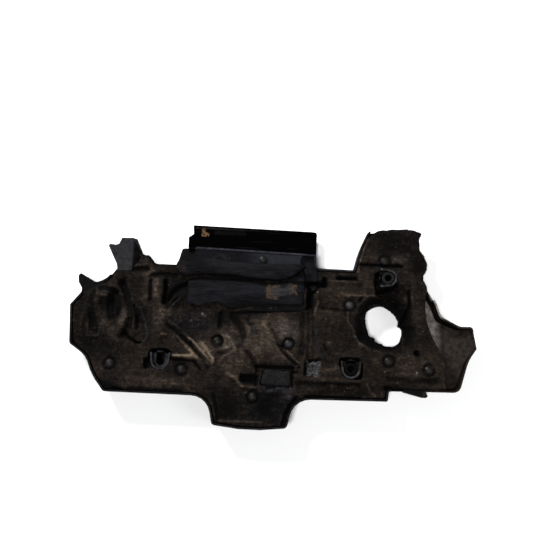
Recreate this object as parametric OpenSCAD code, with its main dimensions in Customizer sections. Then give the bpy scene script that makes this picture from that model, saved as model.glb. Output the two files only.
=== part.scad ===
// Car engine cover with its foam lining, lying on its outer face with the underside up.
// X runs along the cover, Y from its front edge to its rear panel, Z out of the underside.
// The origin is the middle of the footprint, on the surface that the cover lies on.

/* [Shell] */
// Height of the skirt above the outer face
skirt_h = 44; // [40:0.5:48]
// Wall thickness of the skirt
wall_t = 2.8; // [2.4:0.1:3.6]
// Thickness of the moulded floor
floor_t = 3; // [2.5:0.1:4]
// Rounding between the outer face and the skirt
edge_r = 5; // [3:0.5:5.5]
// Draft of the front skirt: how far its foot stands in from its rim
skirt_draft = 3.5; // [2:0.25:4]
// Distance from the datum to the left end
left_reach = 315; // [305:1:330]
// Distance from the datum to the tip of the right wing
wing_reach = 315; // [305:1:330]
// Distance from the datum to the front skirt
front_reach = 114; // [108:1:120]
// Distance from the datum to the front edge of the tab
tab_reach = 162; // [150:1:175]
// Width of the front tab
tab_w = 113; // [95:1:120]
// Place of the middle of the front tab along the cover
tab_x = -29.5; // [-35:0.5:-20]
// Distance from the datum to the rear edge of the right flap
flap_reach = 159; // [150:1:170]
// Radius of the sweep of the right wing
wing_sweep_r = 113; // [100:1:140]
// Radius of the sweep of the left end
left_sweep_r = 130; // [110:1:160]
// Depth of the styling flutes in the outer face
flute_depth = 1.2; // [0.6:0.1:1.6]
// Number of styling flutes
flute_count = 4; // [2:1:5]
// Depth of the broken stretch at the front right
break_depth = 17; // [10:1:20]

/* [Rear panel and ledge] */
// Distance from the datum to the rear edge of the panel
panel_reach = 162; // [150:1:175]
// Height of the panel's outer face above the surface
panel_z = 12; // [8:0.5:20]
// Thickness of the panel
panel_t = 3; // [2:0.1:4]
// Height of the rim round the panel
panel_rim_h = 4; // [2:0.5:8]
// Height of the top of the rear ledge
ledge_z = 42.5; // [40:0.5:44]
// Thickness of the rear ledge
ledge_t = 2.5; // [2:0.1:3.5]
// Height of the lower plate in the ledge's right corner
corner_z = 36; // [30:0.5:39]
// Height of the round boss on the ledge
boss_h = 0.6; // [0.3:0.1:1]

/* [Sockets] */
// Inner radius of the left and front socket cups
cup_r = 11.5; // [10:0.1:12]
// Inner radius of the tall rear socket cup
rear_cup_r = 10.5; // [10:0.1:12]
// Wall thickness of a socket cup
cup_wall = 3; // [2.4:0.1:4]
// Length of the arms of a socket cup, from its middle to its open side
cup_arm = 12; // [10:0.5:15]
// How far each arm of a cup splays outwards at its end
cup_splay = 1.5; // [0.5:0.25:2.5]
// Depth of a cup above its web
cup_depth = 7; // [6:0.5:9]
// Thickness of the web that carries the grommet
web_t = 3; // [2.5:0.1:4]
// Height of the left socket
left_socket_z = 41; // [34:0.5:43]
// Height of the front right socket
front_socket_z = 42; // [34:0.5:43]
// Height of the tall rear right socket
rear_socket_z = 60; // [50:0.5:66]
// Radius of a grommet's flange
grommet_r = 9.5; // [8.5:0.1:9.8]
// Radius of a grommet's waist
grommet_waist_r = 6.5; // [6:0.1:7]
// Radius of a grommet's bore
grommet_bore_r = 4.2; // [3.5:0.1:5]
// Height of a grommet's lower lip
grommet_lip = 4; // [3:0.5:6]

/* [Oil filler] */
// Place of the filler hole along the cover
filler_x = 175; // [170:1:180]
// Place of the filler hole across the cover
filler_y = 7; // [4:1:10]
// Radius of the filler hole in the shell
filler_r = 35; // [32:0.5:37]
// Wall thickness of the filler collar
collar_t = 3; // [2:0.1:4]
// Height of the filler collar
collar_h = 12; // [8:0.5:18]

/* [Foam] */
// Nominal height of the mat's upper face
mat_z = 42; // [38:0.5:44]
// Height of the relief on the mat, as a share of the modelled height
relief_scale = 1; // [0.5:0.05:1.2]
// Gap between the mat's edge and the skirt
mat_gap = 1.2; // [0.5:0.1:2]
// Clearance between foam and moulded plastic
foam_gap = 0.3; // [0.2:0.05:0.6]
// Clearance between the mat and the socket towers
tower_gap = 1; // [0.5:0.1:3]
// Height of the thick foam roll
roll_h = 15; // [10:0.5:20]
// Height of the flat foam strip
strip_h = 6; // [4:0.5:9]
// Height of the strip's thin second layer
layer_h = 3; // [2:0.25:4]
// Length of the front foam block
block_l = 46; // [36:1:54]
// Width of the front foam block
block_w = 25; // [20:1:30]
// Thickness of the front foam block
block_h = 17; // [10:0.5:22]

/* [Retainers] */
// Radius of a retainer cap
cap_r = 6; // [5:0.1:7]
// Height of a retainer cap
cap_h = 5; // [4:0.5:7]
// Radius of the moulded pins
pin_r = 2; // [1.5:0.1:2.5]
// Clearance round a pin in its cap
pin_gap = 0.15; // [0.1:0.05:0.3]
// Height at which the caps sit on the mat
seat_z = 39; // [36:0.5:40]

/* [Hidden] */

eps = 0.01;
big = 1000;
round_fn = 96;
plastic = "#26262a";
foam_brown = "#4a4038";
foam_dark = "#2c2b2e";
foam_grey = "#3c3c3f";
rubber = "#1c1c1e";

front_y = -front_reach;
left_end = -left_reach;
tab_left = tab_x - tab_w / 2;
tab_right = tab_x + tab_w / 2;
rear_y = 90;
ledge_rear_left = 119;
ledge_rear_right = 113;
break_x = 180;
break_y = front_y + break_depth;
flap_rim_z = 28;
wing_sweep_x = 235;
left_sweep_x = left_end + 65;
// Height, above the rim, at which the draft meets the outline
draft_top = skirt_h + 3;

// Corners of the skirt, anticlockwise from the front tab: place and rounding radius
shell_corners = [
    [tab_left, -tab_reach + 5, 6],
    [tab_x, -tab_reach - 1.5, 150],
    [tab_right, -tab_reach + 4, 7],
    [tab_right + 9, front_y - 0.5, 32],
    [break_x - 2, front_y + 1.5, 3],
    [break_x, break_y, 3],
    [289, break_y + 2, 14],
    [wing_reach - 11, -45, 60],
    [wing_reach + 1.5, -27, 10],
    [wing_reach - 4.5, 8, 5],
    [291, 7.5, 8],
    [262, 22, 10],
    [254, 45, 40],
    [232.5, 82, 20],
    [229, flap_reach - 6, 10],
    [200, flap_reach, 60],
    [146.5, flap_reach - 2.5, 14],
    [133, rear_y + 0.52 * (flap_reach - rear_y), 60],
    [124, rear_y, 4],
    [65, rear_y + 1, 6],
    [64, ledge_rear_right, 3],
    [-127.5, ledge_rear_left, 4],
    [-128, rear_y - 0.5, 4],
    [left_end + 125.5, rear_y - 0.5, 8],
    [left_end + 115, rear_y + 12.5, 8],
    [left_end + 105, rear_y + 14.5, 5],
    [left_end + 93, rear_y + 14, 6],
    [left_end + 68, rear_y - 4.5, 10],
    [left_end + 52.5, 63.5, 15],
    [left_end + 14, 39, 6],
    [left_end - 1.9, 18, 4],
    [left_end + 3.4, -43, 8],
    [left_end + 30, -61, 30],
    [left_end + 43, -90, 60],
    [left_end + 62, front_y, 6],
    [tab_left - 9, front_y - 1, 30]
];

// Corner on the line from b through a, k times as far from b as a is
function beyond(a, b, k) = [b.x + k * (a.x - b.x), b.y + k * (a.y - b.y), 1];
// Corners that the draft follows: the front skirt and the tab, and far outside the cover elsewhere
draft_last = len(shell_corners) - 1;
draft_right = beyond(shell_corners[8], shell_corners[7], 8);
draft_left = beyond(shell_corners[draft_last - 4], shell_corners[draft_last - 3], 4);
draft_corners = concat(
    [for (i = [0:7]) shell_corners[i]],
    [draft_right, [draft_right.x, big / 2, 1], [draft_left.x, big / 2, 1], draft_left],
    [for (i = [draft_last - 3:draft_last]) shell_corners[i]]
);
// Corners of the rear panel: its front edge lies in the rear skirt
panel_corners = [
    [65, ledge_rear_right - wall_t / 2, 1],
    [65.5, panel_reach - 5, 3],
    [58, panel_reach - 4, 6],
    [-136.5, panel_reach, 1.5],
    [-135, panel_reach - 15, 1],
    [-143, panel_reach - 20.5, 2],
    [-142, 106, 3],
    [-126.5, 105, 1],
    [-126, ledge_rear_left - wall_t / 2, 1]
];

// Corners of the rear ledge: a shelf behind and under the foam roll
ledge_front = 88;
ledge_corners = [
    [-126.5, ledge_rear_left - wall_t / 2, 1],
    [-126.5, ledge_front, 2],
    [40, ledge_front, 1],
    [40, 106, 5],
    [44, ledge_rear_right - wall_t / 2, 1]
];
// Corners of the lower plate to the right of the ledge, and of the step up to the ledge
corner_corners = [
    [38, ledge_rear_right - wall_t / 2, 1],
    [38, ledge_front + 2, 1],
    [47, ledge_front - 1, 2],
    [47.5, 72, 2],
    [68, 71, 3],
    [66, rear_y, 2],
    [63, ledge_rear_right - wall_t / 2, 1]
];
step_corners = [
    [37, ledge_front, 0.5],
    [40, ledge_front, 0.5],
    [40, 106, 5],
    [44, ledge_rear_right - wall_t / 2, 0.5],
    [40, ledge_rear_right - wall_t / 2, 0.5],
    [37, 106, 5]
];
// Round boss on the ledge: middle, outer and inner radius
ledge_boss = [[-88, 97], 12.5, 7];
// Corners of the locating tongue at the left rear, with its worn end
tongue_corners = [
    [left_end + 66, 76, 1],
    [left_end + 89, 77, 1],
    [left_end + 87, 130.5, 1],
    [left_end + 68.5, 130, 1],
    [left_end + 64.5, 120, 1],
    [left_end + 60, 118.2, 1],
    [left_end + 50.5, 119.3, 1],
    [left_end + 48, 116.5, 1],
    [left_end + 64, 86, 3]
];
tongue_z = 36;
tongue_t = 4;
// Ridge of the tongue, and the outer edge that its side slopes down to
tongue_ridge = [[left_end + 86, 78], [left_end + 89, 77], [left_end + 86.5, 130.2], [left_end + 83, 130]];
tongue_edge = [[left_end + 100, 96], [left_end + 104.5, 103], [left_end + 91.5, 130.5], [left_end + 88.5, 129]];

// Corners of the pointed fin at the left end
fin_corners = [
    [left_end + 51, 59.5, 1],
    [left_end + 53, 67.5, 3],
    [left_end + 32, 57.5, 8],
    [left_end + 6, 72, 1],
    [left_end + 2, 68.5, 1.5],
    [left_end + 3.5, 57, 5],
    [left_end + 9.5, 48, 5],
    [left_end + 9.5, 39.5, 1],
    [left_end + 18, 37, 2]
];
fin_z = 26;
fin_t = 3;

// Sliver of broken skirt that still hangs on: its lower edge, its depth and its plan
sliver_z = 17;
sliver_h = 8;
sliver_plan = [
    [200, break_y + 4], [206.5, break_y + 1], [234, break_y - 5.5], [240, break_y - 5.6], [242, break_y - 3.6],
    [240.5, break_y + 1], [238, break_y + 4]
];

// Stretches of lower rim: corner of a box in plan, its size and the height that is left
rim_drops = [
    [[150, 70], [big, big], flap_rim_z],
    [[208, 48], [big, big], flap_rim_z],
    [[208, 0], [big, 48 + eps], skirt_h - 6],
    [[208, -130], [big, 130 + eps], skirt_h - 8],
    [[-135, rear_y - 10], [30, 34], ledge_z],
    [[left_end + 111, rear_y - 10], [74, 40], skirt_h - 6],
    [[left_end + 45, 68], [66, 60], tongue_z + eps],
    [[left_end + 14, 30], [32, 40], skirt_h - 8]
];
// Broken edge of the rim beside the wing: distance along the break and the height that is left
broken_rim = [
    [0, skirt_h + 1], [0, 36], [7, 31], [13, 34], [21, 27], [34, 29], [46, 33], [58, 32], [64, skirt_h + 1]
];

// Styling flutes: both ends along the cover, the first one's place across it, their spacing and width
flute_left = -210;
flute_right = 90;
flute_y = -60;
flute_step = 30;
flute_w = 8;

// Outline of the foam flap where it stands over the lowered rim
flap_outline = [
    [152, 100], [151, 150], [163, 157.5], [181, 160], [200, 161.7], [219, 161.3], [232, 156.2], [228.3, 147],
    [229.2, 127], [235.2, 119], [240.3, 105], [239.8, 95], [233.8, 86], [234.4, 78], [238.8, 71], [240.5, 60],
    [237, 56.7], [200, 56.7]
];

// Torn right edge of the mat, from the front skirt to the flap
torn_edge = [
    [268, -110], [268, -92], [265, -80], [267, -52], [262, -40], [252, -22], [243, -2], [238, 16], [236.3, 37],
    [238.6, 58], [236.7, 70]
];

// Sockets: place, height, the side that the cup opens to in degrees from +X, and inner radius
left_socket = [-171, -63, left_socket_z, 90, cup_r];
front_socket = [122, -65, front_socket_z, 90, cup_r];
rear_socket = [176, 76, rear_socket_z, 180, rear_cup_r];
sockets = [left_socket, front_socket, rear_socket];

// Retainers that hold the mat
retainers = [
    [left_end + 67.5, -70.5], [-137, -76], [-84.5, -30], [-26.5, -112.5], [25.5, -30], [118.5, 34], [173, 108],
    [179.5, -51], [241, -62]
];
// Pin whose cap is lost
bare_pin = [61.5, 58];
bare_pin_z = 37;
// Retainer that stands on the rear ledge
ledge_retainer = [-20, 101.3];
// Length of a pin inside its cap
pin_in_cap = cap_h - 1.5;

// Front foam block: middle and turn
block_place = [7, -83];
block_turn = -2;
block_z = mat_z + 4 - block_h;

// Seam between the foam roll and the flat strip: place along the cover and across it
seam = [
    [-160, 86], [-155, 79.5], [-145, 69.5], [-136, 66.5], [-130, 70], [-114, 72.5], [-94, 72], [-66, 71],
    [-42, 68.5], [-24, 66], [-4, 64.3], [11, 66.7], [27, 71.2], [36, 78], [44, 85.5], [50, 91]
];
roll_z = ledge_z + boss_h + foam_gap;
// Stations of the foam roll: place along the cover, rear edge and share of its height
roll_stations = [
    [-156, 88, 0.3], [-153, 92, 0.6], [-149.5, 103, 0.75], [-147.5, 113.5, 0.8], [-138, 115, 0.85],
    [-133.5, 105.5, 0.9], [-125, 102, 0.95], [-100, 98, 1], [-60, 95.7, 1], [-20, 93.5, 1], [8, 93.4, 0.95],
    [30, 94.3, 0.85], [42, 94.6, 0.7], [48.5, 94, 0.35]
];
strip_z = mat_z - 0.5;
// Stations of the flat strip: place along the cover, front edge and share of its height
strip_stations = [
    [-137, 32, 0.5], [-134, 26, 0.85], [-116, 21, 1], [-106, 25, 1], [-86, 29, 0.9], [-72, 22, 1], [-58, 24, 1],
    [-40, 30, 0.9], [-15, 33, 1], [20, 32, 1], [30, 31.6, 0.95],
    [42, 31, 0.9], [48.5, 34, 0.5]
];
// Stations of the strip's second layer: place along the cover, front edge and share of its height
layer_stations = [
    [-78, 26, 0.5], [-72, 19, 0.9], [-62, 14, 1], [-18, 12, 1], [20, 15, 1], [46, 18, 0.9], [49.5, 24, 0.5]
];
layer_rear = 38;

// Ridges on the mat: two ends, half width and height
ridges = [
    [[-293, -3], [-277, 26], 9, 4], [[-277, 26], [-254, 43], 9, 4], [[-273, -29], [-253, -1], 9, 4],
    [[-253, -1], [-240, 28], 8, 4], [[-223, 28], [-207, -21], 8, 4], [[-158, 22], [-140, 44], 6, 3],
    [[-155, -13], [-87, -69], 8, 4], [[-138, -34], [-98, -66], 6, 2], [[-154, -58], [-122, -56], 6, 3],
    [[-81, -18], [-50, -67], 11, 4], [[47, 50], [50, -69], 5, 3], [[67, 50], [69, -72], 6, 3],
    [[79, 80], [126, 72], 9, 4], [[-16, -18], [47, -67], 4, 2], [[203, 46], [203, -25], 6, 2.5],
    [[-81, -146], [21, -146], 7, 2], [[-240, -100], [-110, -104], 8, -3], [[80, -100], [170, -99], 8, -3]
];
// Grooves pressed into the mat: two ends, half width and depth
grooves = [
    [[-238, 58], [-204, 10], 6, 5], [[-204, 10], [-199, -26], 6, 4], [[-249, 39], [-245, 12], 8, 6],
    [[-165, 31], [-140, 53], 5, 3], [[102, 77], [126, 78], 4, 6], [[58, 50], [59, -70], 5, 4],
    [[213, 24], [213, -1], 4, 5], [[-164, 2], [-95, -62], 5, 3], [[72, 44], [122, 44], 5, 3],
    [[134, 95], [197, 97], 5, 3]
];
// Round swellings on the mat: middle, radius and height
swellings = [
    [[-53, -57], 28, 4], [[-172, -17], 14, 3], [[-189, 53], 20, 4], [[-202, 90], 20, 3], [[filler_x, filler_y], 62, 3],
    [[-110, -100], 30, 2], [[200, 130], 36, -3], [[30, -118], 20, -3]
];
// Flat plateaus on the mat: middle, half length, half width and height
plateaus = [
    [[-2, -28], 44, 34, 2.5], [[-118, 2], 40, 22, -2.5], [[94, -2], 24, 32, 2], [[-28, -128], 44, 22, -2.2]
];

// Slits and pockets cut into the mat: low corner, high corner, depth and corner radius
cuts = [
    [[211, 2], [215, 26], 14, 1.5], [[218, -40], [223, -34], 18, 2], [[104, 74], [126, 79], 12, 2],
    [[-46, -99], [-22, -90], 9, 3], [[-195.5, -74], [-184, -64.5], 8, 3.5]
];
// Rounded holes in the mat beside each socket's cup: points about its middle
left_socket_hole = [[-15.5, 2], [-15.5, 11], [-13.5, 14.3], [0, 16], [9.5, 15.6], [15, 11.5], [15.5, 3]];
front_socket_hole = [[-15.5, 5], [-15.5, 14.3], [9.5, 15], [15.3, 9], [15.8, -2], [15.3, -11.8], [6.2, -14]];
rear_socket_hole = [[-16, 9], [-12, 12], [4, 12.5], [13.5, 5], [13, -8], [1, -21.5], [-12.5, -23.4], [-15.7, -19.5]];
// Torn hole in the mat round the bare pin
pin_hole = [[55, 67.5], [66.8, 68], [68, 62], [64.5, 55], [58, 53.5], [55, 58]];
// Patch beside the foam block where the mat's skin is torn off
torn_patch = [[51, -57], [60, -55], [72, -56], [71, -66], [74, -78], [64, -75], [57, -79], [53, -68]];
torn_patch_depth = 4;

// Unit vector along v
function unit(v) = v / norm(v);
// Sign of the turn from v to w
function turn_sign(v, w) = v.x * w.y - v.y * w.x >= 0 ? 1 : -1;

// Points of one rounded corner at b, between the sides from a and to c, moved inwards by inset
function corner_points(a, b, c, r, inset) =
    let (
        u = unit(a - b),
        v = unit(c - b),
        side = turn_sign(b - a, c - b),
        half = acos(u * v) / 2,
        middle = unit(u + v),
        r_new = max(r - side * inset, 0.5),
        tip = b + side * inset / sin(half) * middle,
        centre = tip + r_new / sin(half) * middle,
        start = tip + r_new / tan(half) * u - centre,
        sweep = 180 - 2 * half,
        steps = ceil(sweep / 18),
        first = atan2(start.y, start.x)
    )
    [for (i = [0:steps]) centre + r_new * [cos(first + side * sweep * i / steps), sin(first + side * sweep * i / steps)]];

// Closed outline through rounded corners, moved inwards by inset
function outline(corners, inset = 0) =
    let (n = len(corners), at = [for (c = corners) [c.x, c.y]])
    [for (i = [0:n - 1]) each corner_points(at[(i + n - 1) % n], at[i], at[(i + 1) % n], corners[i][2], inset)];

// Value at x on a line through points that are sorted along x
function along(points, x, i = 0) =
    i >= len(points) - 2 || x <= points[i + 1].x
    ? let (p = points[i], q = points[i + 1], t = min(max((x - p.x) / (q.x - p.x), 0), 1)) p.y + (q.y - p.y) * t
    : along(points, x, i + 1);

// Distance from p to the line piece between a and b
function line_distance(p, a, b) =
    let (t = min(max((p - a) * (b - a) / ((b - a) * (b - a)), 0), 1)) norm(p - a - t * (b - a));
// Bell curve of a distance over a half width
function bell(distance, half) = exp(-pow(distance / half, 2));
// Smooth step down from 1 inside a half width to 0 outside it
function plateau_edge(distance, half) = let (t = min(max((half - distance) / 8 + 0.5, 0), 1)) t * t * (3 - 2 * t);
// Sum of a list of numbers
function total(values, i = 0, sum = 0) = i == len(values) ? sum : total(values, i + 1, sum + values[i]);

// Height of the mat's relief at p, above its nominal face
function relief(p) = relief_scale * (
    total([for (r = ridges) r[3] * bell(line_distance(p, r[0], r[1]), r[2])])
    - total([for (g = grooves) g[3] * bell(line_distance(p, g[0], g[1]), g[2])])
    + total([for (s = swellings) s[2] * bell(norm(p - s[0]), s[1] * 0.6)])
    + total([for (f = plateaus) f[3] * plateau_edge(abs(p.x - f[0].x), f[1]) * plateau_edge(abs(p.y - f[0].y), f[2])])
);

// Space above the swept floor, lifted from the outer face
module swept_space(lift) {
    rotate([90, 0, 0])
        translate([0, 0, -big / 2])
            linear_extrude(big)
                difference() {
                    translate([-big / 2, lift])
                        square([big, 2 * skirt_h]);
                    difference() {
                        translate([wing_sweep_x, -eps])
                            square([big, wing_sweep_r]);
                        translate([wing_sweep_x, wing_sweep_r])
                            circle(wing_sweep_r - lift, $fn = round_fn);
                    }
                    difference() {
                        translate([left_sweep_x - big, -eps])
                            square([big, left_sweep_r]);
                        translate([left_sweep_x, left_sweep_r])
                            circle(left_sweep_r - lift, $fn = round_fn);
                    }
                }
}

// Prism over an outline, moved inwards by inset, from z0 to z1
module prism(corners, inset, z0, z1) {
    translate([0, 0, z0])
        linear_extrude(z1 - z0)
            polygon(outline(corners, inset));
}

// Closed ring through a section of [inset, height] points, carried round an outline
module ring_cut(corners, section) {
    rings = [for (s = section) [for (p = outline(corners, s.x)) [p.x, p.y, s.y]]];
    n = len(rings[0]);
    k = len(section);
    polyhedron(
        [for (ring = rings) each ring],
        [for (j = [0:k - 1]) for (i = [0:n - 1])
            [(j + 1) % k * n + i, (j + 1) % k * n + (i + 1) % n, j * n + (i + 1) % n, j * n + i]]
    );
}

// Ring that takes the sharp edge between the outer face and the skirt down to a rounding
module edge_round(corners, r) {
    ring_cut(corners, concat(
        [[-1, -1], [-1, r]],
        [for (a = [15, 45, 75]) [r - r * cos(a), r - r * sin(a)]],
        [[r, -1]]
    ));
}

// Ring outside a drafted skirt that is moved inwards by inset, down to a rounding r at its foot
module draft_cut(inset, r) {
    foot = inset + skirt_draft / skirt_h * (draft_top - r);
    ring_cut(draft_corners, concat(
        [[inset - 1, -1], [inset - 1, draft_top], [inset, draft_top]],
        [for (a = [0, 30, 60]) [foot + r - r * cos(a), r - r * sin(a)]],
        [[foot + r, -1]]
    ));
}

// Outer body of the shell, full of material
module shell_outer() {
    difference() {
        intersection() {
            prism(shell_corners, 0, 0, skirt_h);
            swept_space(0);
        }
        edge_round(shell_corners, edge_r);
        draft_cut(0, edge_r);
    }
}

// Hollow of the shell, above its floor
module shell_hollow() {
    difference() {
        intersection() {
            prism(shell_corners, wall_t, floor_t, skirt_h + 1);
            swept_space(floor_t);
        }
        draft_cut(wall_t, 1);
    }
}

// Stretches where the rim of the skirt is lower or broken away
module rim_cuts() {
    for (d = rim_drops)
        translate([d[0].x, d[0].y, d[2]])
            cube([d[1].x, d[1].y, big]);
    translate([break_x + 3, break_y + 10, 0])
        rotate([90, 0, 0])
            linear_extrude(big)
                polygon(broken_rim);
}

// Shallow flutes across the outer face, with round ends
module flutes() {
    for (i = [0:flute_count - 1])
        translate([0, flute_y + flute_step * i, -1])
            linear_extrude(1 + flute_depth) {
                translate([flute_left, -flute_w / 2])
                    square([flute_right - flute_left, flute_w]);
                for (x = [flute_left, flute_right])
                    translate([x, 0])
                        circle(flute_w / 2, $fn = 32);
            }
}

// Plan of a socket cup with radius r, whose arms splay outwards to its open side at +X
module cup_plan(r, arm = cup_arm) {
    circle(r, $fn = 64);
    polygon([
        [0, -r], [arm, -r - cup_splay * arm / cup_arm], [arm, r + cup_splay * arm / cup_arm], [0, r]
    ]);
}

// Slot in the web that grips a grommet's waist
module web_slot() {
    circle(grommet_waist_r + pin_gap, $fn = 48);
    translate([0, -grommet_waist_r - pin_gap])
        square([cup_arm + 1, 2 * (grommet_waist_r + pin_gap)]);
}

// One socket tower: a hollow post that is open on one side, with a slotted web below its rim
module socket_tower(s) {
    web_z = s[2] - cup_depth - web_t;
    translate([s.x, s.y, 0])
        rotate(s[3])
            difference() {
                translate([0, 0, floor_t - 1])
                    linear_extrude(s[2] - floor_t + 1)
                        cup_plan(s[4] + cup_wall);
                translate([0, 0, floor_t])
                    linear_extrude(web_z - floor_t)
                        cup_plan(s[4], cup_arm + 1);
                translate([0, 0, web_z - 1])
                    linear_extrude(web_t + 2)
                        web_slot();
                translate([0, 0, web_z + web_t])
                    linear_extrude(s[2])
                        cup_plan(s[4], cup_arm + 1);
            }
}

// Pins for the retainers, from the floor or the ledge up into the caps
module retainer_pins() {
    for (p = retainers)
        translate([p.x, p.y, floor_t - 1])
            cylinder(r = pin_r, h = seat_z + pin_in_cap - floor_t + 1, $fn = 32);
    translate([ledge_retainer.x, ledge_retainer.y, ledge_z - 1])
        cylinder(r = pin_r, h = pin_in_cap + 1, $fn = 32);
    translate([bare_pin.x, bare_pin.y, floor_t - 1])
        cylinder(r = pin_r, h = bare_pin_z - floor_t + 1, $fn = 32);
}

// Rear ledge with its round boss, and the lower plate in its right corner
module ledge() {
    prism(ledge_corners, 0, ledge_z - ledge_t, ledge_z);
    prism(corner_corners, 0, corner_z - ledge_t, corner_z);
    prism(step_corners, 0, corner_z - ledge_t, ledge_z);
    intersection() {
        prism(ledge_corners, 0, ledge_z - ledge_t, skirt_h);
        translate([ledge_boss[0].x, ledge_boss[0].y, ledge_z - 1])
            difference() {
                cylinder(r = ledge_boss[1], h = 1 + boss_h, $fn = round_fn);
                cylinder(r = ledge_boss[2], h = 2 + boss_h, $fn = round_fn);
            }
    }
}

// Gloss rear panel with its low rim
module rear_panel() {
    prism(panel_corners, 0, panel_z, panel_z + panel_t);
    difference() {
        prism(panel_corners, 0, panel_z, panel_z + panel_t + panel_rim_h);
        prism(panel_corners, wall_t - 0.3, panel_z - 1, skirt_h);
    }
}

// Locating tongue at the left rear, with a ridge and a sloping side
module tongue() {
    prism(tongue_corners, 0, tongue_z, tongue_z + tongue_t);
    hull() {
        translate([0, 0, tongue_z])
            linear_extrude(tongue_t + 1.5)
                polygon(tongue_ridge);
        translate([0, 0, tongue_z - 6])
            linear_extrude(2)
                polygon(tongue_edge);
    }
}

// Pointed fin and the sliver that is left of the broken skirt
module fin_and_sliver() {
    prism(fin_corners, 0, fin_z, fin_z + fin_t);
    translate([0, 0, sliver_z])
        linear_extrude(sliver_h)
            polygon(sliver_plan);
}

module cover_shell() {
    color(plastic)
        difference() {
            union() {
                difference() {
                    shell_outer();
                    shell_hollow();
                    rim_cuts();
                    flutes();
                }
                ledge();
                rear_panel();
                tongue();
                fin_and_sliver();
                translate([filler_x, filler_y, floor_t - 1])
                    cylinder(r = filler_r + collar_t, h = collar_h - floor_t + 1, $fn = round_fn);
                for (s = sockets)
                    socket_tower(s);
                retainer_pins();
            }
            translate([filler_x, filler_y, -1])
                cylinder(r = filler_r, h = collar_h + 2, $fn = round_fn);
        }
}

// Block of foam with the pressed relief on its upper face
module relief_block() {
    step = 10;
    x0 = -left_reach - 5.29;
    y0 = -tab_reach - 5.57;
    nx = ceil((left_reach + wing_reach) / step);
    ny = ceil((tab_reach + flap_reach + 10) / step);
    top = [for (j = [0:ny]) for (i = [0:nx]) let (p = [x0 + i * step, y0 + j * step]) [p.x, p.y, mat_z + relief(p)]];
    base = [[x0, y0, 0], [x0 + nx * step, y0, 0], [x0 + nx * step, y0 + ny * step, 0], [x0, y0 + ny * step, 0]];
    b = len(top);
    w = nx + 1;
    polyhedron(
        concat(top, base),
        concat(
            [for (j = [0:ny - 1]) for (i = [0:nx - 1]) [j * w + i, (j + 1) * w + i, (j + 1) * w + i + 1]],
            [for (j = [0:ny - 1]) for (i = [0:nx - 1]) [j * w + i, (j + 1) * w + i + 1, j * w + i + 1]],
            [[b, b + 1, b + 2, b + 3]],
            [concat([b + 1, b], [for (i = [0:nx]) i])],
            [concat([b + 2, b + 1], [for (j = [0:ny]) j * w + nx])],
            [concat([b + 3, b + 2], [for (i = [nx:-1:0]) ny * w + i])],
            [concat([b, b + 3], [for (j = [ny:-1:0]) j * w])]
        )
    );
}

// Space that the mat may fill: inside the skirt, and over the lowered rim of the flap
module mat_space() {
    difference() {
        intersection() {
            prism(shell_corners, wall_t + mat_gap, floor_t + foam_gap, big);
            swept_space(floor_t + foam_gap);
            linear_extrude(big)
                polygon(concat(torn_edge, [[236.7, big], [-big, big], [-big, -110 - tab_reach], [268, -110 - tab_reach]]));
        }
        draft_cut(wall_t + mat_gap, 1);
    }
    translate([0, 0, flap_rim_z + foam_gap])
        linear_extrude(big)
            polygon(flap_outline);
}

// Upright hole with a rounded outline round some points, from z0 up
module rounded_hole(points, r, z0) {
    translate([0, 0, z0])
        linear_extrude(big)
            hull()
                for (p = points)
                    translate(p)
                        circle(r, $fn = 16);
}

// Hole in the mat round a socket tower: close to its wall, and wider where the foam is cut or torn
module socket_hole(s, points) {
    translate([s.x, s.y, 0])
        rotate(s[3])
            linear_extrude(big)
                offset(delta = tower_gap)
                    cup_plan(s[4] + cup_wall);
    translate([s.x, s.y, 0])
        rounded_hole(points, 2.5, 0);
}

// Everything that the mat leaves free
module mat_holes() {
    socket_hole(left_socket, left_socket_hole);
    socket_hole(front_socket, front_socket_hole);
    socket_hole(rear_socket, rear_socket_hole);
    rounded_hole(pin_hole, 3, 0);
    translate([filler_x, filler_y, 0]) {
        cylinder(r = filler_r + 1, h = big, $fn = 64);
        cylinder(r = filler_r + collar_t + foam_gap, h = collar_h + foam_gap, $fn = 64);
    }
    for (p = retainers)
        translate([p.x, p.y, 0]) {
            cylinder(r = pin_r + foam_gap, h = big, $fn = 12);
            translate([0, 0, seat_z])
                cylinder(r1 = cap_r + 1, r2 = cap_r + 3, h = 4, $fn = 20);
            translate([0, 0, seat_z + 4])
                cylinder(r = cap_r + 3, h = big, $fn = 20);
        }
    prism(ledge_corners, -foam_gap, ledge_z - ledge_t - foam_gap, big);
    prism(corner_corners, -foam_gap, corner_z - ledge_t - foam_gap, big);
    prism(step_corners, -foam_gap, corner_z - ledge_t - foam_gap, big);
    prism(tongue_corners, -foam_gap, tongue_z - foam_gap, big);
    translate([0, 0, tongue_z - 6 - foam_gap])
        linear_extrude(big)
            offset(delta = foam_gap)
                hull() {
                    polygon(tongue_ridge);
                    polygon(tongue_edge);
                }
    block_hole();
    foam_seat(roll_plan(), roll_z);
    foam_seat(strip_plan(strip_stations), strip_z);
    foam_seat(layer_plan(), strip_z);
    for (c = cuts)
        rounded_hole([for (x = [c[0].x + c[3], c[1].x - c[3]], y = [c[0].y + c[3], c[1].y - c[3]]) [x, y]],
            c[3], mat_z - c[2]);
    translate([0, 0, mat_z - torn_patch_depth])
        linear_extrude(big)
            polygon(torn_patch);
}

// Space above the seat of a foam piece with this plan
module foam_seat(plan, z) {
    translate([0, 0, z])
        linear_extrude(big)
            offset(delta = foam_gap)
                polygon(plan);
}

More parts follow.
